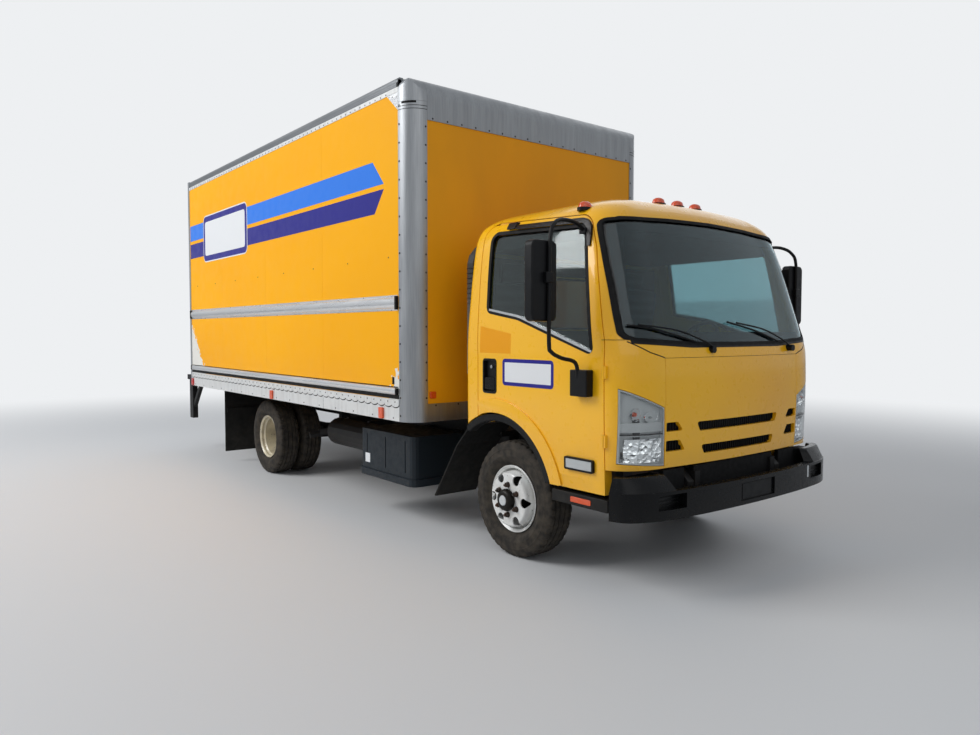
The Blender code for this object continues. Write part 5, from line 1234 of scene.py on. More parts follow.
# Levels of the cab's outer skin: height, rear x, half width, front x in the middle, corner depth
CAB_LEVELS = (
    (0.556, CAB_SKIN_REAR, 0.990, 1.058, 0.200),
    (0.700, CAB_SKIN_REAR, 0.994, 1.068, 0.205),
    (1.050, CAB_SKIN_REAR, 1.000, 1.075, 0.210),
    (1.315, CAB_SKIN_REAR, 1.000, 1.068, 0.210),
    (1.420, CAB_SKIN_REAR, 0.997, 1.045, 0.205),
    (1.680, CAB_SKIN_REAR, 0.974, 0.968, 0.190),
    (1.930, CAB_SKIN_REAR, 0.944, 0.893, 0.180),
    (2.070, CAB_SKIN_REAR + 0.004, 0.918, 0.846, 0.180),
    (2.150, CAB_SKIN_REAR + 0.024, 0.880, 0.812, 0.190),
    (2.205, CAB_SKIN_REAR + 0.080, 0.815, 0.765, 0.200),
    (2.245, CAB_SKIN_REAR + 0.190, 0.710, 0.705, 0.190),
    (2.272, CAB_SKIN_REAR + 0.400, 0.560, 0.630, 0.150),
    (2.284, CAB_SKIN_REAR + 0.560, 0.320, 0.550, 0.100),
    (2.288, CAB_SKIN_REAR + 0.680, 0.080, 0.450, 0.030),
)
LEVEL_SPLITS = (2, 5, 4, 4, 5, 5, 4, 3, 3, 3, 3, 2, 2)
FRONT_SAG = 0.032
CORNER_START = 0.655
CORNER_POWER = 2.35
REAR_CORNER = 0.055
FRONT_STEPS = 8
CORNER_STEPS = 14
ROOF_START = 2.0


def smooth_levels():
    """The cab's levels with more between them, on curves that never overshoot."""
    rows = CAB_LEVELS
    columns = range(len(rows[0]))
    slopes = []
    for i, row in enumerate(rows):
        slope = []
        for c in columns:
            before = (row[c] - rows[i - 1][c]) / (row[0] - rows[i - 1][0]) if i else None
            after = (rows[i + 1][c] - row[c]) / (rows[i + 1][0] - row[0]) if i + 1 < len(rows) else None
            if before is None or after is None:
                slope.append(after if before is None else before)
            else:
                slope.append(0.0 if before * after <= 0 else 2 * before * after / (before + after))
        slopes.append(slope)
    levels = []
    for i, splits in enumerate(LEVEL_SPLITS):
        low, high = rows[i], rows[i + 1]
        gap = high[0] - low[0]
        for step in range(splits):
            levels.append([
                hermite(low[c], high[c], slopes[i][c] * gap, slopes[i + 1][c] * gap,
                        step / splits) for c in columns
            ])
    return levels + [list(rows[-1])]


SMOOTH_LEVELS = smooth_levels()


def cab_ring(level, inset):
    """One level of the skin as points round it, moved in by the inset."""
    height, rear, half, front, depth = level
    half = max(half - inset, 0.02)
    front, rear = front - inset, rear + inset
    height -= inset if height > ROOF_START else 0.0
    start = CORNER_START * half
    side = []
    for i in range(FRONT_STEPS):
        share = i / FRONT_STEPS
        side.append((front - FRONT_SAG * share * share, start * share))
    for i in range(CORNER_STEPS + 1):
        angle = math.radians(90 * i / CORNER_STEPS)
        across = math.sin(angle) ** (2 / CORNER_POWER)
        along = math.cos(angle) ** (2 / CORNER_POWER) if i < CORNER_STEPS else 0.0
        side.append((front - FRONT_SAG - depth * (1 - along), start + (half - start) * across))
    radius = min(max(REAR_CORNER - inset, 0.004), half / 2)
    side += arc((rear + radius, half - radius), radius, 90, 180, 6)
    ring = side + [(x, -y) for x, y in reversed(side) if y > 0]
    return [(x, y, height) for x, y in ring]


def cab_solid(inset, low=None):
    """The cab's outer form, solid, smaller by the inset."""
    rings = [cab_ring(level, inset) for level in SMOOTH_LEVELS]
    if low is not None:
        rings[0] = [(x, y, low) for x, y, _ in rings[0]]
    return loft(rings)


def cab_skin(outer, inner):
    """The cab's wall between two insets, open at the bottom."""
    return cut(cab_solid(outer), cab_solid(inner, low=CAB_LEVELS[0][0] - 0.2))


def reference_skin():
    """The uncut outer skin with its smooth normals, for the gloss on every piece cut from it."""
    solid = cab_solid(0.0)
    tree = BVHTree.FromPolygons([v.co for v in solid.data.vertices],
                                [p.vertices for p in solid.data.polygons])
    normals = [v.normal.copy() for v in solid.data.vertices]
    corners = [tuple(p.vertices) for p in solid.data.polygons]
    points = [v.co.copy() for v in solid.data.vertices]
    bpy.data.objects.remove(solid)
    return tree, normals, corners, points


SKIN_TREE, SKIN_NORMALS, SKIN_CORNERS, SKIN_POINTS = reference_skin()


def skin_normal(point):
    """The smooth outward normal of the cab's skin nearest to a point, and how far off it is."""
    near, _, face, distance = SKIN_TREE.find_nearest(point)
    total = Vector()
    for index in SKIN_CORNERS[face]:
        weight = 1.0 / ((SKIN_POINTS[index] - near).length + 1e-5)
        total += SKIN_NORMALS[index] * weight
    return total.normalized(), distance


def flush_gloss(item):
    """Gives the faces that follow the cab's skin its smooth normals, so that reflections run on over cuts."""
    mesh = item.data
    mesh.shade_smooth()
    mesh.set_sharp_from_angle(angle=math.radians(30))
    cache = {}
    normals = [Vector(corner.vector) for corner in mesh.corner_normals]
    for face in mesh.polygons:
        for loop in face.loop_indices:
            vertex = mesh.loops[loop].vertex_index
            if vertex not in cache:
                cache[vertex] = skin_normal(mesh.vertices[vertex].co)
            smooth, distance = cache[vertex]
            agreement = smooth.dot(face.normal)
            if distance <= FLUSH_REACH and abs(agreement) > FLUSH_AGREEMENT:
                normals[loop] = smooth if agreement > 0 else -smooth
    mesh.normals_split_custom_set(normals)


def cab_piece(item, name, look, body, replaces=(), slot=None):
    """Puts a piece that follows the cab's skin in its place and names it."""
    flush_gloss(item)
    item.data.transform(Matrix.Translation((AXLE_X, 0, 0)))
    named(item, name, look, body, replaces)


def skin_piece(insets, cutter, *rest, **settings):
    """A piece cut from the cab's skin between two insets."""
    cab_piece(common(cab_skin(*insets), cutter), *rest, **settings)


def door_outline():
    """The door from the side, its lower rear edge following the wheel arch."""
    radius = ARCH_RADIUS + 0.004
    first = math.degrees(math.asin((DOOR_SILL - ARCH_Z) / radius))
    last = 180 - math.degrees(math.acos((ARCH_X - DOOR_REAR_X) / radius))
    corners = [(DOOR_HINGE_X, DOOR_SILL), (DOOR_HINGE_X - 0.008, 1.40), (0.735, 1.940), (0.662, DOOR_TOP)]
    corners += [(-0.300, DOOR_TOP + 0.050), (-0.280, 1.650), (DOOR_REAR_X, 1.300)]
    top = rounded(corners, [0.0, 0.3, 0.25, 0.12, 0.095, 0.5, 0.0], steps=8)
    return top + arc((ARCH_X, ARCH_Z), radius, last, first, 20)


def screen_outline():
    """Windscreen from the front: sides lean in, bottom edge bowed down at the middle."""
    side = [(0.0, 1.385), (0.450, 1.388), (0.946, 1.416), (0.894, 1.830), (0.848, 2.119), (0.400, 2.138),
            (0.0, 2.145)]
    loop = side + [(-y, z) for y, z in reversed(side[1:-1])]
    return rounded(loop, [0, 0.5, 0.07, 0.5, 0.09, 0.5, 0, 0.5, 0.09, 0.5, 0.07, 0.5], steps=8)


# The windscreen's edge on the cab's flank, from the side
SCREEN_FLANK = ((0.918, 1.452), (0.880, 1.570), (0.832, 1.725), (0.765, 1.925), (0.700, 2.104),
                (0.800, 2.122),
                (1.200, 2.122), (1.200, 1.412), (0.950, 1.420))


def screen_cutter(gap):
    """The windscreen's shape as a solid: from the front, and round on to the flanks."""
    flank = rounded(list(SCREEN_FLANK), [0.04, 0.3, 0.3, 0.3, 0.035, 0.05, 0, 0, 0.03], steps=6)
    cutter = prism(grow(screen_outline(), gap), (0.45, 1.4), "X")
    for side in (1, -1):
        fuse(cutter, across(grow(flank, gap), side, 0.55))
    return cutter


def window_outline():
    return rounded(list(WINDOW_OUTLINE), list(WINDOW_CORNERS), steps=8)


def panel_outline():
    half = PANEL_HALF_WIDTH
    return [(-half, CAB_FRONT_EDGE - 0.02), (half, CAB_FRONT_EDGE - 0.02), (half, COWL_SEAM),
            (-half, COWL_SEAM)]


def lamp_outline(side, gap=0.0):
    return grow([(side * y, z) for y, z in LAMP_OUTLINE], gap)


CENTRE_SLOTS = ((0.427, 0.890, 0.945), (0.385, 0.755, 0.808))
OUTER_SLOTS = ((0.540, 0.680, 0.903, 0.955), (0.522, 0.680, 0.790, 0.852))
SEAM = 0.0026


def add_cab_shell():
    shell = cab_skin(0.0, CAB_WALL)
    blanks = {name: copied(shell) for name in ("door_left", "door_right", "panel")}
    cut(shell, block((0.868, 1.2), (-1.2, 1.2), (0.3, CAB_FRONT_EDGE)))
    cut(shell, rod(ARCH_RADIUS, (ARCH_X, 0, ARCH_Z), (-1.2, 1.2), "Y", steps=96))
    cut(shell, block((CAB_REAR_X - 0.1, CAB_REAR_X + 0.1), (-1.2, 1.2), (0.3, 0.836)))
    for side in (1, -1):
        cut(shell, across(grow(door_outline(), SHUT_GAP), side, 0.84))
        cut(shell, prism(lamp_outline(side, SEAM), (LAMP_REAR_X - SEAM, AHEAD), "X"))
    cut(shell, prism(grow(panel_outline(), SEAM), (0.80, AHEAD), "X"))
    cut(shell, screen_cutter(0.0))
    rear = rounded_box((-REAR_WINDOW_Y, REAR_WINDOW_Y), REAR_WINDOW_Z, 0.05)
    cut(shell, prism(rear, (CAB_REAR_X - 0.1, CAB_REAR_X + 0.1), "X"))
    cab_piece(shell, "cab_skin", "cab_paint", "cab", ("cab_shell",))
    return blanks


def add_front_panel(blank):
    panel = common(blank, prism(panel_outline(), (0.80, AHEAD), "X"))
    cut(panel, block((0.5, 1.3), (-1, 1), (0.3, CAB_FRONT_EDGE)))
    for half, low, high in CENTRE_SLOTS:
        slot = [(-half + 0.03, low), (half - 0.03, low), (half, high), (-half, high)]
        cut(panel, prism(rounded(slot, [0.012] * 4, steps=3), (0.8, AHEAD), "X"))
    for side in (1, -1):
        for start, end, low, high in OUTER_SLOTS:
            slot = [(side * start, low), (side * end, low), (side * end, high),
                    (side * (start + 0.045), high)]
            cut(panel, prism(rounded(slot, [0.008] * 4, steps=3), (0.8, AHEAD), "X"))
    cab_piece(panel, "front_panel_skin", "cab_paint", "cab", ("front_panel",))
    skin_piece((0.026, 0.030), prism(rounded_box((-0.690, 0.690), (0.74, 0.972), 0.02), (0.80, AHEAD), "X"),
               "grille_backing", "rubber_seal", "cab")
    bars = []
    for low, high in ((0.752, 0.858), (0.870, 0.962)):
        for y in steps_between(-0.67, 0.67, 0.022):
            bars.append(block((0.985, 1.062), (y - 0.0022, y + 0.0022), (low, high)))
        for z in steps_between(low, high, 0.0135):
            bars.append(block((0.985, 1.060), (-0.672, 0.672), (z - 0.0018, z + 0.0018)))
    mesh = joined(*bars)
    for vertex in mesh.data.vertices:
        y = abs(vertex.co.y)
        sag = FRONT_SAG * min(1.0, y / 0.655) ** 2
        vertex.co.x += -0.010 - sag if vertex.co.x > 1.03 else -sag
    finished(mesh, "grille_mesh", "mesh_dark", "cab")


def add_glass():
    skin_piece((0.006, 0.012), screen_cutter(-0.004), "windscreen_glass", "windscreen", "cab",
               ("windscreen",))
    seal = cut(screen_cutter(0.002), screen_cutter(-0.018))
    skin_piece((-0.0025, 0.016), seal, "windscreen_seal", "rubber_seal", "cab")
    band = cut(
        screen_cutter(-0.014),
        prism(rounded([(-0.878, 1.462), (0.878, 1.462), (0.782, 2.040), (-0.782, 2.040)], [0.10] * 4, 10),
              (0.4, 1.5), "X"),
    )
    skin_piece((0.0125, 0.0150), band, "windscreen_frit", "rubber_seal", "cab")
    scuttle = [(-0.900, 1.398), (-0.450, 1.372), (0.450, 1.372), (0.900, 1.398)]
    scuttle += [(0.905, 1.430), (0.450, 1.396), (-0.450, 1.396), (-0.905, 1.430)]
    skin_piece((-0.0020, 0.004), prism(scuttle, (0.6, AHEAD), "X"), "scuttle_strip", "black_trim", "cab")
    for name, side in SIDES:
        lines = [(0.690, 1.3150), (0.800, 1.346), (0.922, 1.4065), (0.919, 1.4120), (0.798, 1.352),
                 (0.690, 1.3210)]
        pillar = [(0.930, 1.4165), (1.02, 1.4165), (1.02, 1.4195), (0.930, 1.4195)]
        grooves = joined(*[prism([(side * y, z) for y, z in line], (0.84, AHEAD),
                                 "X") for line in (lines, pillar)])
        skin_piece((-0.0005, 0.003), grooves, f"cowl_seams_{name}", "rubber_seal", "cab")
    outline = rounded_box((-REAR_WINDOW_Y, REAR_WINDOW_Y), REAR_WINDOW_Z, 0.05)
    x = CAB_REAR_X + 0.016
    pane = prism(grow(outline, -0.002), (x, x + 0.006), "X")
    finished(pane, "rear_pane", "door_glass", "cab", ("rear_window",))
    rim = cut(prism(outline, (x - 0.010, x + 0.014), "X"),
              prism(grow(outline, -0.016), (x - 0.1, x + 0.1), "X"))
    finished(rim, "rear_pane_seal", "rubber_seal", "cab", bevel=0.003)


def facets(side):
    """The low beam's reflector: small mirror facets, each tipped its own way, round the cab's corner."""
    bm = bmesh.new()
    columns, rows, cell = 14, 8, 0.0165
    grid = []
    for i in range(columns + 1):
        line = []
        for j in range(rows + 1):
            y, z = side * (0.703 + cell * i), 0.740 + cell * j
            near = SKIN_TREE.ray_cast(Vector((2.0, y, z)), Vector((-1, 0, 0)))[0]
            dip = 0.42 * cell * ((7 * i + 5 * j + i * j) % 5) / 4
            line.append(bm.verts.new((near.x - 0.015 - dip, y, z)))
        grid.append(line)
    for i in range(columns):
        for j in range(rows):
            a, b, c, d = grid[i][j], grid[i + 1][j], grid[i + 1][j + 1], grid[i][j + 1]
            for face in ((a, b, c), (a, c, d)) if (i + j) % 2 else ((a, b, d), (b, c, d)):
                bm.faces.new(face)
    for part in bmesh.ops.extrude_face_region(bm, geom=bm.faces[:])["geom"]:
        if isinstance(part, bmesh.types.BMVert):
            part.co.x -= 0.006
    bmesh.ops.recalc_face_normals(bm, faces=bm.faces[:])
    return as_object(bm)


def headlamp_unit(name, side):
    """Clear cover over a silver tray: lens and bulb above the waist, a faceted reflector below it."""
    outline = lamp_outline(side)

    def opening(gap):
        return prism(grow(outline, gap), (LAMP_REAR_X, AHEAD), "X")

    def strip(low, high):
        return prism([(side * y, z) for y, z in ((0.68, low), (0.99, low), (0.99, high), (0.68, high))],
                     (0.85, AHEAD), "X")

    skin_piece((0.001, 0.004), opening(-0.001), f"headlamp_cover_{name}", "lamp_cover", "cab",
               (f"headlamp_{name}",))
    skin_piece((0.030, 0.036), opening(-0.002), f"headlamp_tray_{name}", "lamp_shell", "cab")
    rim = cut(opening(-0.0005), prism(grow(outline, -0.007), (0.7, 1.4), "X"))
    skin_piece((0.0015, 0.034), rim, f"headlamp_rim_{name}", "lamp_shell", "cab")
    waist = joined(strip(0.886, 0.892), strip(0.910, 0.962))
    skin_piece((0.014, 0.032), waist, f"headlamp_bar_{name}", "lamp_shell", "cab")
    skin_piece((0.006, 0.020), strip(0.894, 0.899), f"headlamp_split_{name}", "rubber_seal", "cab",
               slot="lamp")
    reflector = common(facets(side), opening(-0.004))
    finished(reflector, f"headlamp_facets_{name}", "lamp_bowl", "cab", angle=2)
    for label, x, y, z, radius, squash, glow in (
        ("high", 1.012, 0.775, 0.990, 0.052, 0.62,
         "lamp_grey"), ("turn", 0.985, 0.872, 1.008, 0.036, 1.0, "amber"),
    ):
        profile = [(radius * share, along) for share, along in BOWL_PROFILE]
        bowl = turned(profile, (x, side * y, z), "X", steps=32)
        bulb = turned(BULB_PROFILE, (x + 0.002, side * y, z), "X", steps=16)
        for piece, part, look in ((bowl, "bowl", "lamp_bowl"), (bulb, "bulb", glow)):
            for vertex in piece.data.vertices:
                vertex.co.z = z + (vertex.co.z - z) * squash
            cab_piece(piece, f"headlamp_{part}_{label}_{name}", look, "cab")


def add_door(name, side, blank):
    """Door skin with its window seal, belt trim, handle, side lamp and blank sign."""
    body = f"door_{name}"
    panel = common(blank, across(door_outline(), side, DOOR_INNER_Y))
    cut(panel, across(window_outline(), side))
    pocket = rounded_box((-0.206, -0.075), (1.067, 1.283), 0.018)
    cut(panel, across(pocket, side, 0.977))
    cab_piece(panel, f"door_skin_{name}", "cab_paint", body, (f"door_{name}",))

    skin_piece((0.010, 0.015), across(grow(window_outline(), -0.002), side), f"door_pane_{name}",
               "door_glass", body, (f"door_glass_{name}",))
    ring = cut(across(grow(window_outline(), 0.004), side),
               across(grow(window_outline(), -0.020), side, 0.7, 1.3))
    skin_piece((-0.002, 0.019), ring, f"window_seal_{name}", "rubber_seal", body)
    low_edge = [(-0.168, 1.601), (0.105, 1.556), (0.150, 1.546), (0.765, 1.346), (0.772, 1.358),
                (0.158, 1.560), (0.110, 1.570), (-0.166, 1.614)]
    skin_piece((-0.004, 0.012), across(low_edge, side), f"belt_trim_{name}", "bright_trim", body)

    tub = cut(across(grow(pocket, -0.0004), side, 0.9772, 0.9998),
              across(grow(pocket, -0.0040), side, 0.9805, 1.2))
    finished(tub, f"handle_pocket_{name}", "black_trim", body)
    rim = cut(across(grow(pocket, 0.006), side, 0.9785, 1.0035),
              across(grow(pocket, -0.008), side, 0.9, 1.2))
    finished(rim, f"handle_rim_{name}", "black_trim", body, bevel=0.002)
    grip = across(rounded_box((-0.194, -0.088), (1.085, 1.165), 0.012), side, 0.986, 1.001)
    finished(grip, f"handle_flap_{name}", "black_gloss", body, bevel=0.004, segments=3)
    lock = rod(0.011, (-0.135, 0, 1.235), sorted((side * 0.978, side * 0.992)), "Y")
    finished(lock, f"door_lock_{name}", "rivet", body, slot="black_plastic", bevel=0.001)

    sign = rounded_box((-0.009, 0.464), (1.122, 1.292), 0.025)
    skin_piece((-0.0006, 0.002), across(sign, side), f"door_sign_border_{name}", "dark_blue", body)
    skin_piece((-0.0010, 0.002), across(grow(sign, -0.023), side), f"door_sign_face_{name}", "sign_white",
               body)
    skin_piece((-0.0003, 0.002),
               across([(-0.245, 1.325), (0.070, 1.325), (0.070, 1.450), (-0.245, 1.500)],
                      side), f"door_patch_{name}", "patch_yellow", body)

    lamp = rounded_box((0.567, 0.794), (0.668, 0.744), 0.012)
    ring = cut(across(lamp, side), across(grow(lamp, -0.011), side, 0.7, 1.3))
    skin_piece((-0.018, 0.002), ring, f"side_lamp_housing_{name}", "black_trim", body)
    clear = common(cab_skin(-0.016, 0.0015), across(grow(lamp, -0.0112), side, 0.8, 1.3))
    cab_piece(clear, f"side_lamp_lens_{name}", "lamp_grey", body)

    shade = cut(across(grow(window_outline(), 0.036), side),
                across(grow(window_outline(), 0.006), side, 0.7, 1.3))
    shade = common(shade, block((0.02, 0.70), (-1.2, 1.2), (1.95, 2.3)))
    skin_piece((-0.012, 0.001), shade, f"window_visor_{name}", "visor", body)
    skin_piece((-0.014, 0.001), across(rounded_box((-0.070, 0.012), (2.122, 2.165), 0.006), side),
               f"visor_clip_{name}", "black_trim", body)

    swage_low = math.degrees(math.asin((DOOR_SILL + 0.002 - ARCH_Z) / 0.60))
    swage_high = 180 - math.degrees(math.acos((ARCH_X - DOOR_REAR_X - 0.002) / 0.63))
    ring_out = arc((ARCH_X, ARCH_Z), 0.630, swage_high, swage_low, 30)
    ring_in = arc((ARCH_X, ARCH_Z), ARCH_RADIUS + 0.0045, swage_low, swage_high, 30)
    bulge = common(cab_skin(-0.010, 0.004), across(ring_out + ring_in, side))
    edge = bulge.modifiers.new("roll", "BEVEL")
    edge.width = 0.008
    edge.segments = 4
    edge.angle_limit = math.radians(50)
    bulge.data = bpy.data.meshes.new_from_object(bulge.evaluated_get(bpy.context.evaluated_depsgraph_get()))
    bulge.modifiers.clear()
    finished(bulge, f"arch_swage_{name}", "cab_paint", body, angle=40)


def add_mirror(name, side):
    """Mirror shell and glass on a bent tube from the door's top to a bracket at its waist."""
    body = f"door_{name}"
    y, z, half = 1.286, (1.518, 1.958), 0.092
    outline = rounded_box(tuple(sorted((side * (y - half), side * (y + half)))), z, 0.035, 6)
    shell = prism(outline, (0.625, 0.695), "X")
    finished(shell, f"mirror_shell_{name}", "black_trim", body, (f"mirror_{name}",), bevel=0.014, segments=4)
    glass = prism(grow(outline, -0.010), (0.6235, 0.6260), "X")
    finished(glass, f"mirror_pane_{name}", "mirror_glass", body)
    run = [
        (0.640, side * 0.935, 2.040), (0.650, side * 1.010, 2.078), (0.665, side * 1.130, 2.082),
        (0.690, side * 1.215, 2.050), (0.705, side * 1.258, 1.970), (0.705, side * 1.264, 1.700),
        (0.705, side * 1.264, 1.405), (0.705, side * 1.246, 1.352), (0.705, side * 1.170, 1.318),
        (0.712, side * 1.068, 1.288), (0.712, side * 1.045, 1.180),
    ]
    finished(tube(flowing(run, 5), 0.0115), f"mirror_tube_{name}", "black_trim", body)
    fittings = joined(
        mirrored((0.655, 0.785), (1.0008, 1.058), (1.10, 1.25), side),
        mirrored((0.615, 0.665), (0.905, 0.950), (2.022, 2.058), side),
        mirrored((0.680, 0.722), (y - 0.045, y + 0.012), (1.725, 1.785), side),
    )
    finished(fittings, f"mirror_brackets_{name}", "black_trim", body, bevel=0.006, segments=3)


def roof_lamps():
    """Five marker lamps on their seats along the roof's front."""
    down = Vector((0, 0, -1))
    for label, y in (("outer_left", 0.905), ("inner_left", 0.19), ("middle", 0.0), ("inner_right", -0.19),
                     ("outer_right", -0.905)):
        outer = abs(y) > 0.5
        x = 0.560 if outer else 0.575
        base = SKIN_TREE.ray_cast(Vector((x, y * 0.93, 3.0)), down)[0].z
        y = y * 0.93 if outer else y
        for part, look, profile, widen, settings in (
            ("roof_lamp", "amber", LAMP_DOME, 1.35, {"angle": 50}),
            ("roof_lamp_seat", "black_trim", LAMP_SEAT, 1.33, {"bevel": 0.002}),
        ):
            piece = turned([(radius, base + rise) for radius, rise in profile], (x, y, 0), "Z", steps=24)
            for vertex in piece.data.vertices:
                vertex.co.y = y + (vertex.co.y - y) * widen
            finished(piece, f"{part}_{label}", look, "cab", **settings)


def wipers():
    """Arm and blade that lie along the windscreen, from a boss at its foot."""
    def lying(shares, low, rise, bow, lift, foot):
        points = []
        for share in shares:
            z = low + rise * share + bow * math.sin(math.pi * share)
            near, normal, _, _ = SKIN_TREE.find_nearest(Vector((1.0, pivot_y - reach * 0.93 * share, z)))
            points.append(near + normal * (lift if share else foot))
        return flowing(points, 6)

    for label, pivot_y, reach in (("right", -0.29, 0.62), ("left", 0.58, 0.64)):
        arm = tube(lying((0.0, 0.12, 0.5, 1.0), 1.362, 0.145, 0.03, 0.022, 0.012), 0.0055)
        blade = tube(lying((0.22, 0.5, 0.75, 1.0, 1.12), 1.352, 0.150, 0.012, 0.007, 0.007), 0.006)
        boss = rod(0.021, (0, pivot_y, 1.360), (1.035, 1.078), "X")
        finished(joined(boss, arm, blade), f"wiper_{label}", "black_trim", "cab", angle=40)


def add_cab_trim():
    """Roof lamps, wipers, steps, wheel arch flares and liners, hinges and tilt arms."""
    roof_lamps()
    wipers()
    arch = (ARCH_X, ARCH_Z)
    for name, side in SIDES:
        step = across(rounded_box((0.440, 0.888), (0.458, 0.530), 0.010), side, 0.71, 0.988)
        riser = mirrored((0.456, 0.494), (0.71, 0.93), (0.52, FOOTWELL_TOP - 0.02), side)
        finished(joined(step, riser), f"entry_step_{name}", "black_grain", "cab", bevel=0.006, segments=3)
        reflector = across(rounded_box((0.600, 0.760), (0.478, 0.510), 0.006), side, 0.987, 0.992)
        finished(reflector, f"step_reflector_{name}", "amber", "cab", bevel=0.0015)
        flare = arc(arch, ARCH_RADIUS - 0.0035, 18, 128, 40) + arc(arch, ARCH_RADIUS - 0.052, 128, 18, 40)
        finished(across(flare, side, 0.925, 0.994), f"arch_flare_{name}", "black_grain", "cab", bevel=0.008,
                 segments=3)
        liner = arc(arch, 0.545, 32, 120, 24) + arc(arch, 0.533, 120, 32, 24)
        finished(across(liner, side, 0.62, 0.938), f"arch_liner_{name}", "flap_rubber", "cab")
        hinges = []
        for z in HINGE_Z:
            hinges.append(rod(0.0105, (DOOR_HINGE_X, side * DOOR_HINGE_Y, 0), (z - 0.036, z + 0.036), "Z",
                              steps=16))
            leaf_x, leaf_y = (DOOR_HINGE_X - 0.004, DOOR_HINGE_X + 0.018), (0.965, DOOR_HINGE_Y + 0.004)
            hinges.append(mirrored(leaf_x, leaf_y, (z - 0.034, z + 0.034), side))
        finished(joined(*hinges), f"door_hinges_{name}", "cab_paint", "cab")
        finished(across(TILT_ARM, side, 0.431, 0.485), f"tilt_arm_{name}", "chassis", "cab", bevel=0.004)


def add_cab_floor():
    """Floor, foot wells and engine cover, with the rear wall's lining."""
    half = 0.925
    front = 0.981
    slab = block((CAB_REAR_X + 0.02, front), (-half, half), (CAB_FLOOR_TOP - 0.04, CAB_FLOOR_TOP))
    fuse(slab, block((CAB_REAR_X + 0.02, 0.485), (-0.365, 0.365), (CAB_FLOOR_TOP - 0.04, 1.135)))
    for side in (1, -1):
        fuse(slab, mirrored((0.455, front), (0.429, half), (FOOTWELL_TOP - 0.04, CAB_FLOOR_TOP), side))
        cut(slab, mirrored((0.495, 0.965), (0.50, half + 0.1), (FOOTWELL_TOP, 1.1), side))
    common(slab, cab_solid(CAB_WALL * 0.6, low=0.2))
    cut(slab, block((CAB_REAR_X - 0.1, 0.45), (-0.33, 0.33), (0.3, 1.10)))
    cut(slab, rod(ARCH_RADIUS - 0.002, (ARCH_X, 0, ARCH_Z), (-1.2, 1.2), "Y", steps=96))
    finished(slab, "cab_floor_pan", "interior_trim_and_shade", "cab", ("cab_floor",), bevel=0.008)
    skin_piece((CAB_WALL + 0.001, CAB_WALL + 0.006), block((CAB_REAR_X, 0.70), (-1, 1), (2.0, 2.3)),
               "roof_lining", "interior_trim_and_shade", "cab")
    rear = block((CAB_REAR_X + 0.046, CAB_REAR_X + 0.052), (-0.90, 0.90), (0.985, 1.97))
    cut(rear, prism(rounded_box((-0.56, 0.56), (1.47, 1.87), 0.05), (-1, 1), "X"))
    finished(rear, "rear_wall_lining", "interior_trim_and_shade", "cab")


def cushion(x, y, z, radius, crown, channels):
    """A crowned pad between values on each axis, with sewn channels across it."""
    bm = bmesh.new()
    steps = CUSHION_STEPS

    def point(i, j, raised):
        u, v = i / steps, j / steps
        off_u, off_v = abs(2 * u - 1), abs(2 * v - 1)
        pull = radius * (off_u**6 + off_v**6) * 0.25
        px = x[0] + (x[1] - x[0]) * u
        py = y[0] + (y[1] - y[0]) * v
        px += pull * (1 if u < 0.5 else -1) * (off_v**4)
        py += pull * (1 if v < 0.5 else -1) * (off_u**4)
        if not raised:
            return px, py, z[0]
        dome = (1 - off_u**3.2) * (1 - off_v**3.2)
        groove = sum(math.exp(-(((v - c) / 0.018) ** 2)) for c in channels)
        return px, py, z[0] + (z[1] - z[0]) * (0.72 + 0.28 * dome) - groove * 0.010 + crown * dome * 0.3

    rims = []
    for raised in (True, False):
        grid = [[bm.verts.new(point(i, j, raised)) for j in range(steps + 1)] for i in range(steps + 1)]
        for i in range(steps):
            for j in range(steps):
                bm.faces.new((grid[i][j], grid[i + 1][j], grid[i + 1][j + 1], grid[i][j + 1]))
        rim = [row[0] for row in grid[:-1]] + grid[-1][:-1]
        rims.append(rim + [row[-1] for row in grid[:0:-1]] + grid[0][:0:-1])
    for i in range(len(rims[0])):
        bm.faces.new((rims[0][i - 1], rims[0][i], rims[1][i], rims[1][i - 1]))
    return as_object(bm)


def add_seats():
    """Seat squab, back and headrest in woven cloth over a moulded base."""
    for node, y in (("seat_driver", SEAT_Y), ("seat_passengers", -SEAT_Y)):
        label = node.split("_")[1]
        base = block((-0.25, 0.18), (y - 0.21, y + 0.21), (CAB_FLOOR_TOP + 0.0003, CAB_FLOOR_TOP + 0.165))
        finished(base, f"seat_base_{label}", "interior_trim_and_shade", "cab", (node,), bevel=0.012, segments=3)
        squab = cushion((-0.27, 0.235), (y - 0.245, y + 0.245), (1.146, 1.262), 0.03, 0.02, (0.24, 0.76))
        back = cushion((-0.31, 0.31), (y - 0.235, y + 0.235), (0.0, 0.095), 0.03, 0.02, (0.24, 0.76))
        lean = Matrix.Rotation(math.radians(-83.6), 4, "Y")
        back.data.transform(Matrix.Translation((-0.305, 0, 1.49)) @ lean)
        rest = cushion((-0.075, 0.075), (y - 0.125, y + 0.125), (0.0, 0.062), 0.02, 0.015, ())
        rest.data.transform(Matrix.Translation((-0.318, 0, 1.862)) @ lean)
        for piece, part in ((squab, "squab"), (back, "back"), (rest, "headrest")):
            round_off = piece.modifiers.new("soft", "SUBSURF")
            round_off.levels = round_off.render_levels = 1
            finished(piece, f"seat_{part}_{label}", "cloth", "cab", angle=70)


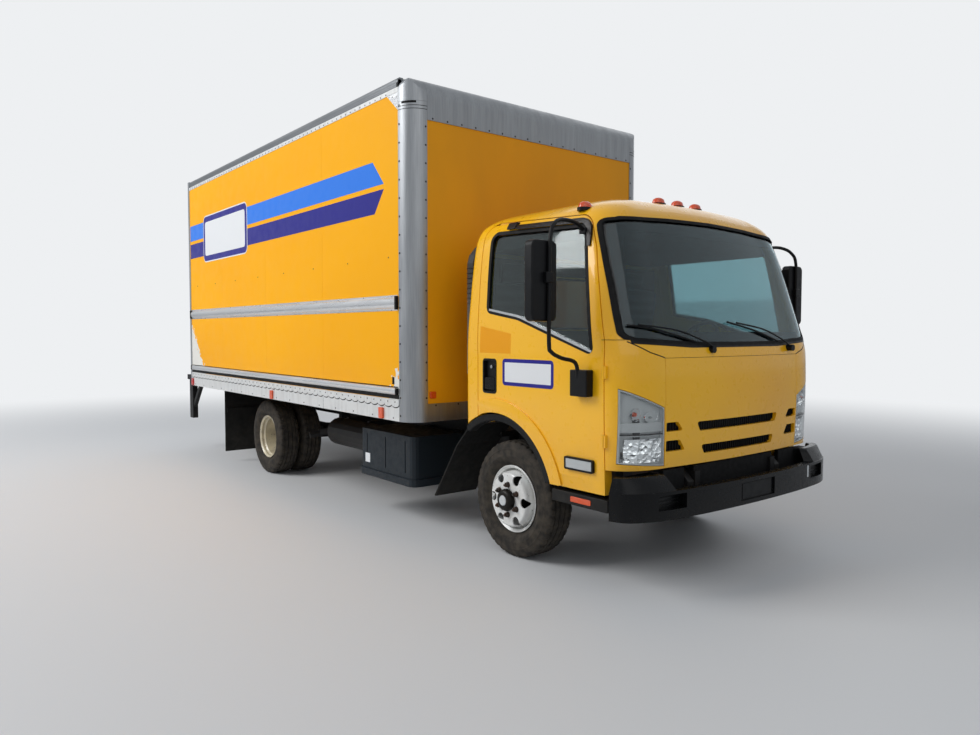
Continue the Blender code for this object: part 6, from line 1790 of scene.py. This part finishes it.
def add_dash():
    """Dash moulding with hood, column and steering wheel."""
    section = rounded(
        [(0.62, 1.13), (0.60, 1.27), (0.66, 1.34), (0.86, 1.352), (0.93, 1.34), (0.93, 1.06), (0.74, 1.06)],
        [0.02, 0.03, 0.05, 0.05, 0.01, 0.01, 0.05], steps=4,
    )
    dash = prism(section, (-0.62, 0.62), "Y")
    wings = prism([(0.64, 1.14), (0.62, 1.26), (0.68, 1.33), (0.80, 1.335), (0.80, 1.10)], (-0.92, 0.92), "Y")
    hood = prism(rounded([(0.56, 1.28), (0.66, 1.40), (0.80, 1.36), (0.80, 1.30)], [0.01, 0.03, 0.02, 0], 4),
                 (0.24, 0.62), "Y")
    support = block((0.80, 1.005), (-0.30, 0.30), (CAB_FLOOR_TOP + 0.0003, 1.10))
    moulding = fuse(dash, wings, hood, support)
    finished(moulding, "dash_moulding", "interior_trim_and_shade", "cab", ("dashboard",), bevel=0.006)
    centre, rake = Vector((0.415, 0.43, 1.356)), math.radians(32.5)
    towards = Vector((-math.cos(rake), 0, math.sin(rake)))
    column = tube([tuple(centre - towards * 0.29), tuple(centre - towards * 0.0123)], 0.028)
    finished(column, "steering_column", "interior_trim_and_shade", "cab")
    rim = [(0.205 + 0.013 * math.cos(a), 0.013 * math.sin(a)) for a in swept(0, 348, 29)]
    wheel = turned(rim, (0, 0, 0), "Z", steps=64)
    hub = turned([(0.003, -0.012), (0.050, -0.012), (0.055, 0.004), (0.040, 0.016), (0.003, 0.018)],
                 (0, 0, 0), "Z")
    spokes = [
        tube([(0.02 * math.cos(a), 0.02 * math.sin(a), 0), (0.2 * math.cos(a), 0.2 * math.sin(a), 0)], 0.010)
        for a in (math.radians(d) for d in (90, 210, 330))
    ]
    whole = joined(wheel, hub, *spokes)
    turn = Vector((0, 0, 1)).rotation_difference(towards).to_matrix().to_4x4()
    whole.data.transform(Matrix.Translation(centre) @ turn)
    finished(whole, "steering_wheel_rim", "black_trim", "cab", ("steering_wheel",), angle=50)


# Bumper and chassis

BUMPER_PLAN = ((0.0, 0.0), (0.45, 0.012), (0.78, 0.045), (0.94, 0.090), (1.03, 0.150), (1.065, 0.235))


def add_bumper():
    """Bar that wraps back at its raised ends, with lamp recesses and a blank plate pocket."""
    plan = [Vector((BUMPER_FRONT_X - back, y, 0)) for y, back in BUMPER_PLAN]
    mirrored_start = [Vector((p.x, -p.y, 0)) for p in plan[1:2]]
    run = flowing(mirrored_start + plan, 5)[5:]
    outer = [(p.x, p.y) for p in run]
    inner = [(x - BUMPER_THICKNESS, y * 0.955) for x, y in outer[:-1]]
    half = outer + inner[::-1]
    loop = half + [(x, -y) for x, y in reversed(half) if y > 1e-6]
    bar = prism(loop, (BUMPER_LOW, BUMPER_TOP), "Z")
    for side in (1, -1):
        ends = [(x, y) for x, y in outer if y >= 0.70] + [(x, y) for x, y in reversed(inner) if y >= 0.66]
        middle = (0.98, 0.90)
        rings = []
        for height, share in ((BUMPER_TOP - 0.01, 0.0), (BUMPER_TOP + 0.05, 0.28),
                              (BUMPER_END_TOP - 0.010, 0.37), (BUMPER_END_TOP, 0.46)):
            rings.append([(x + (middle[0] - x) * share, side * (y + (middle[1] - y) * share * 0.3),
                           height) for x, y in ends])
        fuse(bar, loft(rings))
        cut(bar, mirrored((BUMPER_FRONT_X - 0.085, BUMPER_FRONT_X + 0.1), (0.66, 0.86), (0.500, 0.582), side))
    cut(bar, block((BUMPER_FRONT_X - 0.014, BUMPER_FRONT_X + 0.1), (-0.18, 0.18), (0.47, 0.575)))
    finished(bar, "bumper_bar", "black_gloss", "chassis", ("front_bumper",), bevel=0.007, segments=3)
    for name, side in SIDES:
        blank = joined(
            mirrored((1.096, 1.106), (0.655, 0.865), (0.495, 0.587), side),
            *[mirrored((1.100, 1.116), (0.664, 0.856), (z, z + 0.006), side) for z in (0.520, 0.541, 0.562)],
        )
        finished(blank, f"bumper_recess_{name}", "rubber_seal", "chassis")
        arm = joined(
            mirrored((0.94, BUMPER_FRONT_X - 0.05), (0.30, 0.37), (0.50, 0.56), side),
            mirrored((0.94, 0.975), (0.30, 0.37), (0.55, 0.6047), side),
        )
        finished(arm, f"bumper_arm_{name}", "chassis", "chassis", bevel=0.004)
    plate = block((BUMPER_FRONT_X - 0.0135, BUMPER_FRONT_X - 0.0115), (-0.152, 0.152), (0.478, 0.568))
    finished(plate, "blank_plate", "black_trim", "chassis", bevel=0.0008)
    label = prism(rounded_box((-1.765, -1.690), (0.395, 0.470), 0.004), (-1.0162, -1.0148), "Y")
    finished(label, "battery_label", "sign_white", "chassis", slot="black_plastic")
    tape = prism(rounded_box((0.60, 0.625), (0.515, 0.590), 0.004),
                 (BUMPER_FRONT_X - 0.05, BUMPER_FRONT_X - 0.024), "X")
    finished(tape, "bumper_tape", "lamp_shell", "chassis", slot="black_plastic")
    # Partly painted shade: a near-black panel between bumper and cab, a crossmember whose black also stands
    # in for the shade in the gap.
    valance_and_shade = [block((1.000, 1.034), (-0.415, 0.415), (0.500, 0.686))]
    valance_and_shade += [mirrored((1.000, 1.030), (0.500, 0.690), (0.500, 0.686), side) for side in (1, -1)]
    valance_and_shade += [mirrored((0.935, 1.000), (0.692, 0.925), (0.500, 0.665), side) for side in (1, -1)]
    finished(joined(*valance_and_shade), "front_valance_and_shade", "rubber_seal", "chassis", bevel=0.004)


def dress_frame_nodes():
    """Finishes for the frame's own pieces that stay in view."""
    looks = {
        "frame_rails": "chassis", "engine_block": "casting", "gearbox_shaft": "casting",
        "fuel_tank": "chassis",
        # Painted shade: the exhaust takes the black chassis enamel, darker than its steel, for the shade
        # under the body.
        "battery_box": "battery_cover", "exhaust": "chassis", "air_intake": "intake",
        "mud_flaps": "flap_rubber",
        "splash_guard_left": "flap_rubber", "splash_guard_right": "flap_rubber",
        "front_spring_left": "chassis", "front_spring_right": "chassis",
        "rear_spring_left": "chassis", "rear_spring_right": "chassis",
        "rear_step": "chassis", "front_axle": "chassis", "rear_axle": "chassis", "knuckle_left": "casting",
        "knuckle_right": "casting", "box_floor": "floor_wood", "box_front_wall": "shaded_front_sheet",
        "box_roof": "roof", "box_rear_frame": "frame_aluminium", "box_rear_door": "door_white",
    }
    for node, look in looks.items():
        mesh = frame["nodes"][node].data
        mesh.materials.clear()
        mesh.materials.append(LOOKS[look])


# Stage


def add_stage():
    """Pale floor that fades into the backdrop, a soft key from the right, the photograph's camera."""
    scene = bpy.context.scene
    scene.view_settings.view_transform = "Standard"
    bm = bmesh.new()
    bmesh.ops.create_circle(bm, cap_ends=True, radius=90.0, segments=96)
    mesh = bpy.data.meshes.new("studio_floor")
    bm.to_mesh(mesh)
    bm.free()
    floor = bpy.data.objects.new("studio_floor", mesh)
    scene.collection.objects.link(floor)
    finish = Finish("studio_floor_paint", FLOOR_COLOUR, 0.6)
    distance = finish.add("ShaderNodeVectorMath", {0: finish.place}, operation="LENGTH").outputs["Value"]
    fade = finish.add("ShaderNodeMapRange", {0: distance, 1: FLOOR_FADE[0], 2: FLOOR_FADE[1]},
                      interpolation_type="SMOOTHSTEP").outputs[0]
    seen = finish.add("ShaderNodeLightPath").outputs["Is Camera Ray"]
    glow = finish.add("ShaderNodeEmission", {"Color": linear(BACKDROP_COLOUR), "Strength": 1.0})
    mix = finish.add("ShaderNodeMixShader",
                     {0: finish.sums("MULTIPLY", fade, seen), 1: finish.shader.outputs[0],
                      2: glow.outputs[0]})
    out = finish.tree.nodes["Material Output"]
    finish.tree.links.new(mix.outputs[0], out.inputs["Surface"])
    mesh.materials.append(finish.material)

    world = bpy.data.worlds.new("studio")
    scene.world = world
    world.use_nodes = True
    tree = world.node_tree
    tree.nodes.clear()
    path = tree.nodes.new("ShaderNodeLightPath").outputs
    shade = None
    for ray, colour, strength in WORLD_LIGHT:
        background = tree.nodes.new("ShaderNodeBackground")
        background.inputs["Color"].default_value = linear(colour)
        background.inputs["Strength"].default_value = strength
        if ray is None:
            shade = background.outputs[0]
            continue
        mix = tree.nodes.new("ShaderNodeMixShader")
        tree.links.new(path[ray], mix.inputs[0])
        tree.links.new(shade, mix.inputs[1])
        tree.links.new(background.outputs[0], mix.inputs[2])
        shade = mix.outputs[0]
    tree.links.new(shade, tree.nodes.new("ShaderNodeOutputWorld").inputs["Surface"])

    for name, place, size, power in STUDIO_LAMPS:
        light = bpy.data.lights.new(name, "AREA")
        light.size = size
        light.energy = power
        lamp = bpy.data.objects.new(name, light)
        lamp.location = place
        lamp.rotation_euler = (Vector(LAMP_TARGET) - Vector(place)).to_track_quat("-Z", "Y").to_euler()
        scene.collection.objects.link(lamp)

    data = bpy.data.cameras.new("camera")
    data.sensor_width = SENSOR_WIDTH
    data.lens = FOCAL_PIXELS * SENSOR_WIDTH / PHOTO_SIZE[0]
    data.clip_end = 300.0
    camera = bpy.data.objects.new("camera", data)
    yaw, pitch = math.radians(CAMERA_YAW), math.radians(CAMERA_PITCH)
    forward = Vector((math.cos(yaw) * math.cos(pitch), math.sin(yaw) * math.cos(pitch), math.sin(pitch)))
    turn = forward.to_track_quat("-Z", "Y").to_matrix().to_4x4()
    camera.matrix_world = (
        Matrix.Translation((CAMERA_POINT[0] + AXLE_X, CAMERA_POINT[1], CAMERA_POINT[2]))
        @ turn @ Matrix.Rotation(math.radians(-CAMERA_ROLL), 4, "Z")
    )
    scene.collection.objects.link(camera)
    scene.camera = camera


def build():
    add_stage()
    dress_frame_nodes()
    nose_pieces()
    nose_rivets()
    for name, side in SIDES:
        side_wall(name, side)
        livery(name, side)
    van_markers()
    rear_fittings()
    add_wheels()
    blanks = add_cab_shell()
    add_front_panel(blanks["panel"])
    add_glass()
    for name, side in SIDES:
        headlamp_unit(name, side)
        add_door(name, side, blanks[f"door_{name}"])
        add_mirror(name, side)
    add_cab_trim()
    add_cab_floor()
    add_seats()
    add_dash()
    add_bumper()


build()
